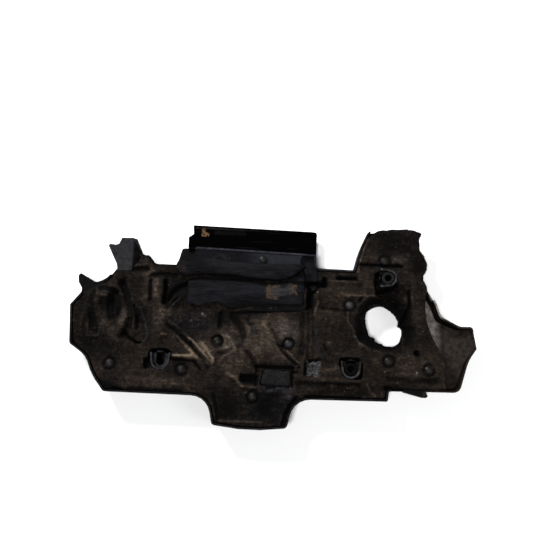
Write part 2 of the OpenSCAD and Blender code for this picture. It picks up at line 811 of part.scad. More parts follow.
// Plans of the foam pieces, from their stations
function roll_plan() = concat(
    [for (s = roll_stations) [s[0], along(seam, s[0]) + foam_gap / 2]],
    [for (i = [len(roll_stations) - 1:-1:0]) [roll_stations[i][0], roll_stations[i][1]]]
);
function strip_plan(stations) = concat(
    [for (s = stations) [s[0], s[1]]],
    [for (i = [len(stations) - 1:-1:0]) [stations[i][0], along(seam, stations[i][0]) - foam_gap / 2]]
);
function layer_plan() = concat(
    [for (s = layer_stations) [s[0], s[1]]],
    [for (i = [len(layer_stations) - 1:-1:0]) [layer_stations[i][0], layer_rear]]
);

// Corners of the front foam block about its own middle
block_corners = [
    [-block_l / 2, -block_w / 2, 3], [block_l / 2, -block_w / 2, 3], [block_l / 2, block_w / 2, 3],
    [-block_l / 2 + 5, block_w / 2, 3]
];

// Pocket in the mat that the foam block sits in
module block_hole() {
    translate([block_place.x, block_place.y, 0])
        rotate(block_turn)
            prism(block_corners, -foam_gap, block_z - foam_gap, big);
}

module insulation_mat() {
    color(foam_brown)
        difference() {
            intersection() {
                relief_block();
                mat_space();
            }
            mat_holes();
        }
}

// Soft bar along X through stations of [x, low y, high y, top z], with a flat base and rounded sides
module soft_bar(stations, z0) {
    sides = 14;
    shape = [for (i = [0:sides - 1]) let (a = 360 * i / sides - 90)
        [sign(cos(a)) * pow(abs(cos(a)), 0.6), sign(sin(a)) * pow(abs(sin(a)), 0.6)]];
    n = len(stations);
    polyhedron(
        [for (s = stations) for (p = shape)
            [s[0], (s[1] + s[2]) / 2 + (s[2] - s[1]) / 2 * p.x, z0 + (s[3] - z0) * (0.5 + 0.5 * p.y)]],
        concat(
            [for (j = [0:n - 2]) for (i = [0:sides - 1])
                [(j + 1) * sides + i, (j + 1) * sides + (i + 1) % sides, j * sides + (i + 1) % sides, j * sides + i]],
            [[for (i = [0:sides - 1]) i]],
            [[for (i = [sides - 1:-1:0]) (n - 1) * sides + i]]
        )
    );
}

module rear_foam_roll() {
    color(foam_dark)
        soft_bar([for (s = roll_stations) [s[0], along(seam, s[0]) + foam_gap / 2, s[1], roll_z + roll_h * s[2]]], roll_z);
}

module rear_foam_strip() {
    color(foam_dark) {
        soft_bar([for (s = strip_stations)
            [s[0], s[1], along(seam, s[0]) - foam_gap / 2, strip_z + strip_h * s[2]]], strip_z);
        soft_bar([for (s = layer_stations) [s[0], s[1], layer_rear, strip_z + layer_h * s[2]]], strip_z);
    }
}

module front_foam_block() {
    color(foam_grey)
        translate([block_place.x, block_place.y, 0])
            rotate(block_turn)
                hull() {
                    prism(block_corners, 0, block_z, block_z + block_h - 2);
                    prism(block_corners, 1.5, block_z, block_z + block_h);
                }
}

// Rubber grommet in the web of a socket, gripped at its waist
module grommet(s) {
    web_z = s[2] - cup_depth - web_t;
    top = cup_depth - 1;
    translate([s.x, s.y, web_z])
        rotate_extrude($fn = 64)
            polygon([
                [grommet_bore_r, -grommet_lip], [grommet_r - 2, -grommet_lip], [grommet_r - 0.5, -grommet_lip + 2],
                [grommet_r - 0.5, 0], [grommet_waist_r, 0], [grommet_waist_r, web_t], [grommet_r, web_t],
                [grommet_r, web_t + top - 1], [grommet_r - 1, web_t + top], [grommet_bore_r + 2, web_t + top],
                [grommet_bore_r, web_t + top - 2]
            ]);
}

module socket_grommet_front() {
    color(rubber)
        grommet(front_socket);
}

module socket_grommet_rear() {
    color(rubber)
        grommet(rear_socket);
}

// One push-on cap with a domed head and a blind bore over its pin
module retainer_cap() {
    rotate_extrude($fn = 32)
        difference() {
            intersection() {
                square([cap_r, cap_h]);
                translate([0, cap_h - 1.6 * cap_r])
                    circle(1.6 * cap_r, $fn = 64);
            }
            square([pin_r + pin_gap, cap_h - 1.2]);
        }
}

module mat_retainers() {
    color(plastic) {
        for (p = retainers)
            translate([p.x, p.y, seat_z])
                retainer_cap();
        translate([ledge_retainer.x, ledge_retainer.y, ledge_z])
            retainer_cap();
    }
}

cover_shell();
insulation_mat();
rear_foam_roll();
rear_foam_strip();
front_foam_block();
socket_grommet_front();
socket_grommet_rear();
mat_retainers();
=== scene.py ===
import math

import bpy
import numpy as np
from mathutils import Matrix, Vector, noise


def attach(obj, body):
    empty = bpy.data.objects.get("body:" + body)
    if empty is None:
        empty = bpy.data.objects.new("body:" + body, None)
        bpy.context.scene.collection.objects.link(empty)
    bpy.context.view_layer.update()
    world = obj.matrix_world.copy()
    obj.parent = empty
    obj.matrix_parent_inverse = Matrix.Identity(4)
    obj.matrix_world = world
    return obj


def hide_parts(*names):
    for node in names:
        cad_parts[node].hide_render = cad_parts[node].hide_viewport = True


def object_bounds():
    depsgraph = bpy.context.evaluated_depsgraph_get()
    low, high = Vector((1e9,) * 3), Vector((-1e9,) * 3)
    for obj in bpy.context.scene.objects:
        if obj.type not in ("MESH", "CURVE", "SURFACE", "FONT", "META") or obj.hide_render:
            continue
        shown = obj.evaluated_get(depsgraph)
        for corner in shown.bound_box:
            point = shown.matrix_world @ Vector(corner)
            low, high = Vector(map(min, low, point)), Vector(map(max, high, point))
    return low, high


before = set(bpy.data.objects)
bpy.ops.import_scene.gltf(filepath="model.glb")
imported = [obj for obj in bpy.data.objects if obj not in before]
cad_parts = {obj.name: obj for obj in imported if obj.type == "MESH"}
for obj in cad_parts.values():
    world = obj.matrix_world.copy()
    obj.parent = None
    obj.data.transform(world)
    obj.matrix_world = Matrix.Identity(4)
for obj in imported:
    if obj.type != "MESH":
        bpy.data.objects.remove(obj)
cad_low, cad_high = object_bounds()
MM = 0.001


# ---------------------------------------------------------------- camera, light and floor

CAMERA_AIM = Vector((0.0, 0.082, 0.025))
CAMERA_DISTANCE = 1.12
CAMERA_AZIMUTH = math.radians(2.3)
CAMERA_ELEVATION = math.radians(76.3)
CAMERA_LENS = 45.8
SENSOR_WIDTH = 36
AIR_COLOUR = (0.95, 0.97, 1, 1)
WORLD_LIGHT = 0.18
# How pale the air behind the floor looks
WORLD_SEEN = 0.85
# Lamps: name, place, size in metres and power; the one without a size shines from far away
LAMPS = (
    ("top_light", (-0.4, -0.55, 2.3), None, 2.45),
    ("key_light", (-1.1, 1.45, 1.35), 0.4, 64),
    ("fill_light", (1.5, -0.7, 1.2), 1.0, 9),
)
DAYLIGHT_SPREAD = 0.22
FLOOR_SIZE = 12
FLOOR_DROP = 0.0005
FLOOR_COLOUR = (0.93, 0.93, 0.93, 1)
FLOOR_ROUGHNESS = 0.9
# How much light the studio gives a flat surface, against paper white
STUDIO_GAIN = 2.2


def look_from(place, aim):
    """Turn of an object at place that looks at aim, with its top towards the rear."""
    return (aim - place).to_track_quat("-Z", "Y").to_euler()


def add_camera():
    back = Vector((
        math.sin(CAMERA_AZIMUTH) * math.cos(CAMERA_ELEVATION),
        -math.cos(CAMERA_AZIMUTH) * math.cos(CAMERA_ELEVATION),
        math.sin(CAMERA_ELEVATION),
    ))
    camera = bpy.data.objects.new("camera", bpy.data.cameras.new("camera"))
    camera.data.lens = CAMERA_LENS
    camera.data.sensor_width = SENSOR_WIDTH
    camera.location = CAMERA_AIM + back * CAMERA_DISTANCE
    camera.rotation_euler = look_from(camera.location, CAMERA_AIM)
    bpy.context.collection.objects.link(camera)
    bpy.context.scene.camera = camera


def add_light(name, place, size, power):
    """A round lamp that faces the cover; one without a size in metres lights it from far away."""
    light = bpy.data.objects.new(name, bpy.data.lights.new(name, "AREA" if size else "SUN"))
    light.data.energy = power
    if size:
        light.data.shape = "DISK"
        light.data.size = size
    else:
        light.data.angle = DAYLIGHT_SPREAD
    light.location = place
    light.rotation_euler = look_from(Vector(place), Vector((0, 0, 0)))
    bpy.context.collection.objects.link(light)


def add_air():
    """Faint light from all sides, which looks pale where the camera sees past the floor."""
    world = bpy.data.worlds.new("studio")
    world.use_nodes = True
    nodes, links = world.node_tree.nodes, world.node_tree.links
    air = nodes["Background"]
    air.inputs["Color"].default_value = AIR_COLOUR
    strength = nodes.new("ShaderNodeMapRange")
    strength.inputs["To Min"].default_value = WORLD_LIGHT
    strength.inputs["To Max"].default_value = WORLD_SEEN
    links.new(nodes.new("ShaderNodeLightPath").outputs["Is Camera Ray"], strength.inputs["Value"])
    links.new(strength.outputs["Result"], air.inputs["Strength"])
    bpy.context.scene.world = world


def add_studio():
    add_air()
    for name, place, size, power in LAMPS:
        add_light(name, place, size, power)
    bpy.ops.mesh.primitive_plane_add(size=FLOOR_SIZE, location=(0, 0, cad_low[2] - FLOOR_DROP))
    floor = bpy.context.object
    floor.name = "floor"
    paper = bpy.data.materials.new("pale_paper")
    paper.use_nodes = True
    shader = paper.node_tree.nodes["Principled BSDF"]
    shader.inputs["Base Color"].default_value = FLOOR_COLOUR
    shader.inputs["Roughness"].default_value = FLOOR_ROUGHNESS
    floor.data.materials.append(paper)
    bpy.context.scene.view_settings.view_transform = "Standard"


# ---------------------------------------------------------------- relief of the mat, in millimetres

MAT_TOP = 42.0
FOLD_GAIN = 1.5
MARK_GAIN = 1.2
# Middle of the oil filler hole
FILLER = (175, 7)

# Broad ridges pressed into the mat: two ends, half width and height
RIDGES = [
    ((-293, -3), (-277, 26), 9, 4), ((-277, 26), (-254, 43), 9, 4), ((-273, -29), (-253, -1), 9, 4),
    ((-253, -1), (-240, 28), 8, 4), ((-223, 28), (-207, -21), 8, 4), ((-158, 22), (-140, 44), 6, 3),
    ((-155, -13), (-87, -69), 8, 4), ((-138, -34), (-98, -66), 6, 2), ((-154, -58), (-122, -56), 6, 3),
    ((-81, -18), (-50, -67), 11, 4), ((47, 50), (50, -69), 5, 3), ((67, 50), (69, -72), 6, 3),
    ((79, 80), (126, 72), 9, 4), ((-16, -18), (47, -67), 4, 2), ((203, 46), (203, -25), 6, 2.5),
    ((-81, -146), (21, -146), 7, 2), ((-240, -100), (-110, -104), 8, -3),
    ((80, -100), (170, -99), 8, -3),
]
# Broad grooves: two ends, half width and depth
GROOVES = [
    ((-238, 58), (-204, 10), 6, 5), ((-204, 10), (-199, -26), 6, 4), ((-249, 39), (-245, 12), 8, 6),
    ((-165, 31), (-140, 53), 5, 3), ((102, 77), (126, 78), 4, 6), ((58, 50), (59, -70), 5, 4),
    ((213, 24), (213, -1), 4, 5), ((-164, 2), (-95, -62), 5, 3), ((72, 44), (122, 44), 5, 3),
    ((134, 95), (197, 97), 5, 3),
]
# Round swellings: middle, radius and height
SWELLINGS = [
    ((-53, -57), 28, 4), ((-172, -17), 14, 3), ((-189, 53), 20, 4), ((-202, 90), 20, 3),
    (FILLER, 62, 3), ((-110, -100), 30, 2), ((200, 130), 36, -3), ((30, -118), 20, -3),
]
SWELLING_SHARE = 0.6
# Flat plateaus: middle, half length, half width and height
PLATEAUS = [
    ((-2, -28), 44, 34, 2.5), ((-118, 2), 40, 22, -2.5), ((94, -2), 24, 32, 2),
    ((-28, -128), 44, 22, -2.2),
]
PLATEAU_SLOPE = 8
# Small pockets with steep edges: middle, half length, half width and depth
POCKETS = [
    ((-34, -85.5), 12, 5, 6), ((113, 76.4), 15, 1.6, 9), ((78, 69), 2.6, 6, 8), ((56, 40), 3.4, 12, 8),
    ((-191, -68), 3.6, 7, 6), ((-171, 45), 1.6, 17, 6), ((222.5, -37), 2.4, 3, 8),
]
POCKET_SLOPE = 2
# Folds, creases and marks that the solid leaves out:
# path, half width, rise, change of tone and coolness. The tone changes hold dirt and dust together with
# painted shade in creases and painted highlights along ridges; some of the coolness is a painted bluish
# highlight on ridges.
MARKS = [
    (((-277, 44), (-286, 36), (-292, 20), (-296, 0), (-297, -18), (-292, -30)), 5, 2, 0.02, 0),
    (((-281, 40), (-284, 25), (-283, 8), (-279, -8)), 4, -2.5, -0.14, 0),
    (((-275, 40), (-273, 20), (-268, 0), (-258, -18), (-246, -36)), 7, 2.5, 0.05, 0.1),
    (((-272, 46), (-262, 46), (-248, 42)), 3, -2.2, -0.16, 0),
    (((-276, 36), (-262, 40), (-250, 38)), 3, 1.5, 0.14, 0),
    (((-268, 34), (-259, 33)), 2.5, 1, 0.26, 0),
    (((-249, 38), (-250, 20), (-248, 4)), 6, -4, -0.12, 0.3),
    (((-249, 36), (-246, 8)), 2, 2.5, 0.14, 0.8),
    (((-241, 36), (-240, 18), (-241, 4)), 2, -2, -0.16, 0),
    (((-257, 34), (-257, 12), (-253, 0)), 2, -2, -0.16, 0),
    (((-240, 56), (-231, 36), (-223, 18), (-221, 2), (-225, -14), (-231, -26)), 5, -5, -0.16, 0),
    (((-232, 52), (-222, 32), (-216, 10), (-215, -14)), 4, 3, 0.04, 0),
    (((-222, 40), (-216, 25), (-208.5, 16.5), (-202, 4), (-196, -13), (-194.5, -28), (-198, -36)),
        2.2, 1.2, 0.12, 0.7),
    (((-217, 20), (-212, 5), (-209, -4)), 2, -3, -0.2, 0),
    (((-210, 2), (-207, -14), (-209, -28)), 5, -2.5, -0.06, 0),
    (((-222, 84), (-203, 86)), 3, 2, 0.16, 0), (((-226, 78), (-200, 79)), 3, -2, -0.14, 0),
    (((-229, -22), (-222, -30), (-214, -34), (-210, -37), (-203, -37)), 1.6, -5, -0.45, 0),
    (((-286, -12), (-286, -30), (-268, -30), (-267, -12)), 1.6, 1.3, 0.16, 0.2),
    (((-280, -15), (-271, -22)), 4, -1.5, -0.14, 0), (((-275, -17), (-274, -17)), 1.4, 0.8, 0.34, 0),
    (((-256, -6), (-247, -22), (-238, -36)), 5, 1, 0.1, 0),
    (((-238, -108), (-228, -109)), 2.5, -4, -0.35, 0),
    (((-215, -92), (-170, -97), (-130, -100)), 7, 1, 0.06, 0),
    (((-215, -107), (-135, -109)), 2.4, -2, -0.24, 0), (((-227, -76), (-226, -76)), 3, 0.4, 0.16, 0),
    (((-313, -22), (-300, -58), (-272, -94), (-244, -107)), 4, -1, -0.2, 0),
    (((-171, 62), (-169, 48), (-172, 28)), 2.6, -4, -0.4, 0),
    (((-194, 62), (-193.5, 42), (-193, 30)), 2, -3, -0.28, 0),
    (((-194, 70), (-180, 73), (-155, 71)), 3, -3, -0.24, 0),
    (((-184, 60), (-184, 36)), 7, 2.6, 0.12, 0),
    (((-168, 26), (-160, 42), (-150, 52), (-138, 58)), 3, -4, -0.22, 0),
    (((-162, 26), (-152, 42), (-140, 50)), 2.5, 2, 0.08, 0.3),
    (((-166, 18), (-158, 28), (-150, 34)), 2.4, -2.5, -0.18, 0),
    (((-158, 22), (-146, 34)), 2.2, 2, 0.12, 0.3), (((-170, -4), (-170, -20)), 7, 2, 0.04, 0),
    (((-172, -24), (-163, -23)), 2, 1.2, 0.24, 0), (((-186, 24), (-186, -20)), 4, 1, 0.06, 0.2),
    (((-160, -1), (-140, -16), (-122, -32), (-104, -50), (-90, -66)), 2.4, 2.5, 0.18, 0),
    (((-163, -7), (-143, -22), (-126, -36), (-108, -56), (-96, -72)), 1.8, -2.4, -0.26, 0),
    (((-146, -26), (-130, -42), (-114, -58)), 2.6, 2, 0.2, 0),
    (((-142, -24), (-126, -38), (-110, -52), (-95, -64)), 1.8, -2.2, -0.24, 0),
    (((-128, -28), (-110, -38), (-98, -50), (-88, -62)), 2.6, 2.4, 0.26, 0),
    (((-110, -32), (-98, -42), (-88, -58)), 2.4, 2, 0.16, 0),
    (((-118, -32), (-104, -44), (-92, -60)), 1.6, -2, -0.24, 0),
    (((-151, -55), (-122, -56)), 3.4, 3, 0.5, 0),
    (((-150, -61.5), (-120, -61.5), (-108, -74)), 1.8, -2.4, -0.3, 0),
    (((-111, 12), (-105, 8)), 1.4, 0.5, 0.4, 0), (((-128, 0), (-127, 0)), 1.3, 0.4, 0.45, 0),
    (((-180, -76), (-171, -79), (-162, -76)), 1.8, 0.8, 0.2, 0.3),
    (((-191, -62), (-191, -74)), 3, 0, -0.35, 0), (((-81, 14), (-83, -8)), 2.5, -3, -0.24, 0),
    (((-62, 8), (-48, -8), (-44, -22)), 5, -3, -0.2, 0),
    (((-38, 8), (-33, -4), (-28, -14)), 4, -2, -0.14, 0.5),
    (((-18, 4), (-6, -10), (2, -24)), 3, 1.5, 0.1, 0),
    (((8, -4), (20, -16), (32, -30)), 3, 1.5, 0.1, 0.2),
    (((-6, -2), (8, -22), (20, -40)), 2.5, -1.5, -0.14, 0),
    (((14, -40), (26, -52), (38, -62)), 1.8, -3, -0.34, 0),
    (((20, -38), (34, -52), (42, -60)), 2, 1.4, 0.14, 0), (((8, -38), (24, -56)), 2.2, 1.4, 0.12, 0),
    (((8, -30), (11, -35), (18, -34)), 1.3, -2, -0.4, 0),
    (((-78, -22), (-66, -23), (-56, -34)), 5, 2.4, 0.12, 0.1), (((-80, -42), (-60, -40)), 4, 1, 0.1, 0),
    (((-84, -50), (-70, -48), (-60, -42)), 3, -2, -0.2, 0),
    (((-78, -60), (-72, -52), (-62, -45), (-54, -42)), 2.6, 1.6, 0.16, 0),
    (((-36, -46), (-27, -56), (-24, -66)), 3, -2.5, -0.24, 0),
    (((-47, -47), (-46, -47)), 1.4, 0.4, 0.34, 0),
    (((-66, -80), (-57, -84), (-50, -90), (-43, -98)), 4, 2.8, 0.24, 0),
    (((-45, -80), (-42, -88), (-36, -90), (-24, -91)), 1.8, 0, -0.4, 0),
    (((-42, -84), (-25, -84)), 5, 0, -0.14, 0), (((-44, -98), (-22, -99)), 1.6, 1.2, 0.24, 0),
    (((-40, -107), (-32, -107)), 1.6, 1, 0.24, 0), (((-75, -150), (-10, -150)), 2.4, 1.6, 0.26, 0),
    (((28, -110), (27, -108)), 5, 0.8, 0.08, 0.9), (((8, -115), (7, -115)), 4, 0.6, 0.12, 0.8),
    (((40, -112), (30, -125), (24, -140), (20, -152)), 2.2, -3, -0.4, 0),
    (((-86, -112), (-80, -130), (-77, -150)), 1.8, -2, -0.34, 0),
    (((-22, -67), (33, -67)), 1.8, -4, -0.42, 0), (((-5, -98), (6, -98)), 3, -2, -0.12, 0.6),
    (((-22, -68), (-22, -95)), 1.4, -3, -0.3, 0), (((33, -68), (33, -95)), 1.4, -3, -0.3, 0),
    (((-64, 14), (-20, 18), (52, 25)), 2.2, -2, -0.34, 0), (((44, 44), (44, 58)), 4, 0, 0.14, 1.0),
    (((50, 65), (78, 65)), 4, -4, -0.36, 0), (((67, 53), (67.5, 53)), 1.5, 0.5, 0.45, 0.4),
    (((56, 31), (56, 49)), 3.6, 0, -0.42, 0), (((70, 36), (66, 28), (63, 16)), 3.4, 3, 0.24, 0),
    (((46, 15), (48, 0), (48, -30), (45, -45)), 4, -2.5, -0.16, 0),
    (((63, 2), (65, -15), (69, -25), (74, -40), (78, -52)), 2.2, 1.4, 0.0, 0.9),
    (((76, 28), (90, 27), (113, 25)), 1.8, -2, -0.22, 0),
    (((116, 22), (116, 8), (121, 2), (126, -8), (124, -14), (130, -22), (136, -32)), 2, 1.6, 0.22, 0),
    (((108, 49.5), (165, 49.5)), 1.7, 1, 0.22, 0), (((98, 71), (128, 71)), 2.2, 1, 0.16, 0),
    (((98, 76.5), (128, 76.5)), 1.8, 0, -0.45, 0), (((78, 64), (78, 74)), 3, 0, -0.45, 0),
    (((82, 10), (82.5, 10)), 1.4, 0.4, 0.34, 0), (((87, -25), (87.5, -25)), 1.4, 0.4, 0.34, 0),
    (((80, -30), (84, -38)), 1.4, -1.5, -0.3, 0),
    (((78, -70), (90, -68), (100, -64)), 3.6, 1.6, 0.2, 0),
    (((63, -73), (67, -69), (72, -65)), 1.3, 0.8, 0.5, 0.8), (((60, -55), (72, -54)), 2, -4, -0.42, 0),
    (((53, -60), (53, -75)), 2, -3, -0.38, 0), (((33, -73), (40, -73)), 1.6, -2, -0.4, 0),
    (((42, -66), (42.5, -66)), 2, -2, -0.4, 0), (((40, -82), (135, -82)), 4, 1, 0.1, 0),
    (((40, -90), (135, -90)), 3, -2, -0.16, 0), (((93, -90), (93, -97)), 1.3, 0.6, 0.3, 0),
    (((55, -109), (135, -109)), 1.8, -2.5, -0.38, 0),
    (((131, 88), (134, 110), (141, 130), (146, 142)), 2.6, 1.6, 0.26, 0),
    (((134, 100.5), (200, 100.5)), 1.8, -3, -0.38, 0), (((164, 56), (160, 76)), 4, -3, -0.3, 0),
    (((191, 60), (191, 70)), 3, -2, -0.3, 0), (((134, 42), (137, 46)), 2, -2, -0.3, 0),
    (((134, -11), (136, -18)), 3.6, -3, -0.34, 0), (((200, 6), (202, 30)), 3.6, -2.5, -0.28, 0),
    (((138, 22), (134, 4), (135, -8)), 3, 0.6, 0.1, 0.8),
    (((127, -12), (135, -25), (148, -34), (165, -37), (185, -36), (200, -28), (207, -12),
        (206, 10)), 2.4, 2, 0.22, 0),
    (((210, 60), (212, 40), (212, 20), (215, 0)), 1.6, -4, -0.4, 0),
    (((208, -5), (209, -12)), 1.5, -3, -0.34, 0), (((232, -3), (232.5, -3)), 1.4, 0.4, 0.4, 0.3),
    (((206, -55), (206.5, -55)), 1.4, 0.4, 0.4, 0.3), (((193, -82), (193.5, -82)), 1.5, 0.4, 0.4, 0),
    (((173, -67), (173.5, -67)), 1.4, 0.4, 0.4, 0.3), (((222, -67), (222.5, -67)), 1.5, 0.4, 0.4, 0.3),
    (((221, -35), (225, -40)), 2.6, 0, -0.45, 0),
    (((180, -77), (215, -80), (250, -78)), 3, -2, -0.18, 0),
    (((175, -92), (205, -95)), 3, -3, -0.38, 0), (((147, -88), (152, -98), (160, -104)), 2, 1, 0.24, 0),
    (((217, 84), (217, 28)), 3, 1, 0.06, 0), (((12, -107), (-10, -130)), 8, -1, -0.14, 0.3),
    (((-6, -134), (10, -146)), 6, 0, -0.1, 0.2), (((-204, 70), (-191, 75)), 4, 1, 0.2, 0),
    (((-200, 62), (-200, 20)), 4, 1, 0.06, 0),
]
# A mark's tone ends as sharply as this power, along an edge that wanders by this noise
MARK_SHARPNESS = 3
WANDER_SIZE, WANDER_SEED = 4, 12
FULL_WANDER_WIDTH = 3
# Retainers: the pressed ring around each one is darkened with painted shade
RETAINERS = [
    (-247.5, -70.5), (-137, -76), (-84.5, -30), (-26.5, -112.5), (25.5, -30), (118.5, 34), (173, 108),
    (179.5, -51), (241, -62),
]
RING_RADIUS, RING_HALF, RING_DEPTH, RING_SHADE = 8.6, 1.8, 1.0, 0.34
# The foam's torn edge in the filler hole: angle and distance from the hole's middle
TORN_HOLE = [
    (-159, 28.0), (-144, 29.9), (-127, 26.8), (-119, 30.0), (-97, 30.1), (-93, 32.5), (-75, 34.5),
    (-55, 36.2), (-33, 32.3), (-5, 27.3), (0, 21.3), (24, 24.3), (33, 24.1), (70, 26.4), (102, 32.9),
    (117, 36.6), (132, 38.2), (148, 34.0), (176, 29.5),
]
# The foam that sags into the filler hole turns darker with painted shade
HOLE_RADIUS, SAG_REACH, SAG_SHARE, SAG_SHADE = 36.0, 50.0, 0.5, 0.2
COLLAR_TOP, COLLAR_RISE = 13.0, 4
# Layers of noise: share, size of the bumps in millimetres and seed
HOLE_NOISE = ((0.8, 5, 11),)
LUMP_NOISE = ((0.8, 16, 1), (0.7, 7, 2), (0.35, 4, 9))
SIDE_NOISE = ((0.5, 5, 3),)
TORN_NOISE = ((1.6, 7, 4), (0.9, 3, 5))
PATCH_NOISE = ((5, 6, 6),)


def distance_to_path(points, path):
    """Distance of each point from a path of straight pieces."""
    best = np.full(len(points), np.inf)
    for a, b in zip(path[:-1], path[1:]):
        a, b = np.array(a, float), np.array(b, float)
        along = np.clip(((points - a) @ (b - a)) / ((b - a) @ (b - a)), 0, 1)
        best = np.minimum(best, np.linalg.norm(points - a - along[:, None] * (b - a), axis=1))
    return best


def bell(distance, half):
    return np.exp(-((distance / half) ** 2))


def smooth(share):
    """Eases a share between 0 and 1 at both ends."""
    share = np.clip(share, 0, 1)
    return share * share * (3 - 2 * share)


def plateau_edge(distance, half, slope):
    return smooth((half - distance) / slope + 0.5)


def block_share(points, middle, half_x, half_y, slope):
    """Share that is 1 over a rectangle and falls off past its edges."""
    away = np.abs(points - np.array(middle))
    return plateau_edge(away[:, 0], half_x, slope) * plateau_edge(away[:, 1], half_y, slope)


def rise_past(values, start, reach):
    """Share that goes from 0 at start to 1 one reach further."""
    return np.clip((values - start) / reach, 0, 1)


def ripple(points, size, seed):
    """Smooth noise between -1 and 1, with bumps about as wide as size, in millimetres."""
    shift = Vector((seed * 17.3, seed * 5.1, seed * 9.7))
    return np.array([noise.noise(Vector(p) / size + shift) for p in points])


def ripples(points, layers):
    return sum(share * ripple(points, size, seed) for share, size, seed in layers)


def broad_relief(points):
    height = np.zeros(len(points))
    for a, b, half, rise in RIDGES:
        height += rise * bell(distance_to_path(points, (a, b)), half)
    for a, b, half, depth in GROOVES:
        height -= depth * bell(distance_to_path(points, (a, b)), half)
    for middle, radius, rise in SWELLINGS:
        height += rise * bell(np.linalg.norm(points - np.array(middle), axis=1), radius * SWELLING_SHARE)
    for middle, half_x, half_y, rise in PLATEAUS:
        height += rise * block_share(points, middle, half_x, half_y, PLATEAU_SLOPE)
    return height


def retainer_rings(points):
    rings = np.zeros(len(points))
    for middle in RETAINERS:
        away = np.linalg.norm(points - np.array(middle), axis=1)
        rings = np.maximum(rings, bell(away - RING_RADIUS, RING_HALF))
    return rings


def fine_relief(points):
    """Height, tone and coolness that the folds, pockets and rings give each point."""
    height, tone, cool = np.zeros((3, len(points)))
    wander = ripple(np.column_stack([points, np.zeros(len(points))]), WANDER_SIZE, WANDER_SEED)
    for path, half, rise, change, coolness in MARKS:
        away = distance_to_path(points, path)
        height += rise * bell(away, half)
        uneven = np.maximum(away + wander * min(1, half / FULL_WANDER_WIDTH), 0)
        stained = np.exp(-(uneven / half) ** MARK_SHARPNESS)
        tone += MARK_GAIN * change * stained
        cool = np.maximum(cool, coolness * stained)
    for middle, half_x, half_y, depth in POCKETS:
        height -= depth * block_share(points, middle, half_x, half_y, POCKET_SLOPE)
    rings = retainer_rings(points)
    # The pressed rings sink a little and get painted shade
    return height - RING_DEPTH * rings, tone - RING_SHADE * rings, cool


def sink_into_hole(points):
    """Lets the foam round the filler hole sag into it and end in its torn edge."""
    offset = points[:, :2] - np.array(FILLER)
    away = np.maximum(np.linalg.norm(offset, axis=1), 1e-6)
    angle = np.degrees(np.arctan2(offset[:, 1], offset[:, 0]))
    edge = np.interp(angle, *np.array(TORN_HOLE).T, period=360) + ripples(points, HOLE_NOISE)
    near = smooth((SAG_REACH - away) / (SAG_REACH - HOLE_RADIUS))
    above = rise_past(points[:, 2], COLLAR_TOP, COLLAR_RISE)
    pulled = away + (edge - HOLE_RADIUS) * near * above
    points[:, :2] = np.array(FILLER) + offset * (pulled / away)[:, None]
    points[:, 2] -= near * SAG_SHARE * np.clip(points[:, 2] - COLLAR_TOP, 0, None)
    return near


# ---------------------------------------------------------------- modelling helpers

# Two points of a CAD node this close, in metres, are one
MERGE_DISTANCE = 0.00001
SMOOTHING = {"factor": 0.5, "iterations": 2}
PUFF_FRAMES = 20
PUFF_QUALITY = 4


def pick(piece):
    """Leaves this piece alone selected and active."""
    bpy.ops.object.select_all(action="DESELECT")
    piece.select_set(True)
    bpy.context.view_layer.objects.active = piece


def merged_copy(node, name):
    """A new piece from a merged copy of a CAD node's mesh."""
    piece = bpy.data.objects.new(name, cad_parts[node].data.copy())
    piece.data.name = name
    piece.data.materials.clear()
    bpy.context.collection.objects.link(piece)
    pick(piece)
    bpy.ops.object.mode_set(mode="EDIT")
    bpy.ops.mesh.select_all(action="SELECT")
    bpy.ops.mesh.remove_doubles(threshold=MERGE_DISTANCE)
    bpy.ops.object.mode_set(mode="OBJECT")
    return piece


def finish_with(piece, kind, **settings):
    """Adds a modifier and applies it."""
    modifier = piece.modifiers.new(kind.lower(), kind)
    for key, value in settings.items():
        setattr(modifier, key, value)
    pick(piece)
    bpy.ops.object.modifier_apply(modifier=modifier.name)


def remesh(piece, voxel):
    finish_with(piece, "REMESH", mode="VOXEL", voxel_size=voxel * MM, use_smooth_shade=True)
    finish_with(piece, "SMOOTH", **SMOOTHING)


def coordinates(piece):
    flat = np.empty(len(piece.data.vertices) * 3)
    piece.data.vertices.foreach_get("co", flat)
    return flat.reshape(-1, 3)


def set_coordinates(piece, points):
    piece.data.vertices.foreach_set("co", np.asarray(points, float).ravel())
    piece.data.update()


def normals(piece):
    return np.array([v.normal[:] for v in piece.data.vertices])


def store(piece, name, values):
    """Keeps one number for each point of the mesh, for the materials to read."""
    layer = piece.data.attributes.new(name, "FLOAT", "POINT")
    layer.data.foreach_set("value", np.asarray(values, np.float32))


def puff(piece, pressure, cap, base):
    """Lets a soft piece swell as cloth, held below base, and moves no point further than cap."""
    rest = coordinates(piece)
    held = piece.vertex_groups.new(name="held")
    held.add([int(i) for i in np.nonzero(rest[:, 2] < base)[0]], 1.0, "REPLACE")
    cloth = piece.modifiers.new("swell", "CLOTH")
    cloth.settings.use_pressure = True
    cloth.settings.uniform_pressure_force = pressure
    cloth.settings.effector_weights.gravity = 0
    cloth.settings.vertex_group_mass = "held"
    cloth.settings.quality = PUFF_QUALITY
    cloth.point_cache.frame_start = 1
    cloth.point_cache.frame_end = PUFF_FRAMES
    scene = bpy.context.scene
    for step in range(1, PUFF_FRAMES + 1):
        scene.frame_set(step)
    pick(piece)
    bpy.ops.object.modifier_apply(modifier=cloth.name)
    scene.frame_set(1)
    moved = coordinates(piece) - rest
    far = np.linalg.norm(moved, axis=1)
    moved *= np.minimum(1, cap / np.maximum(far, 1e-9))[:, None]
    set_coordinates(piece, rest + moved)


# ---------------------------------------------------------------- shared surface effects

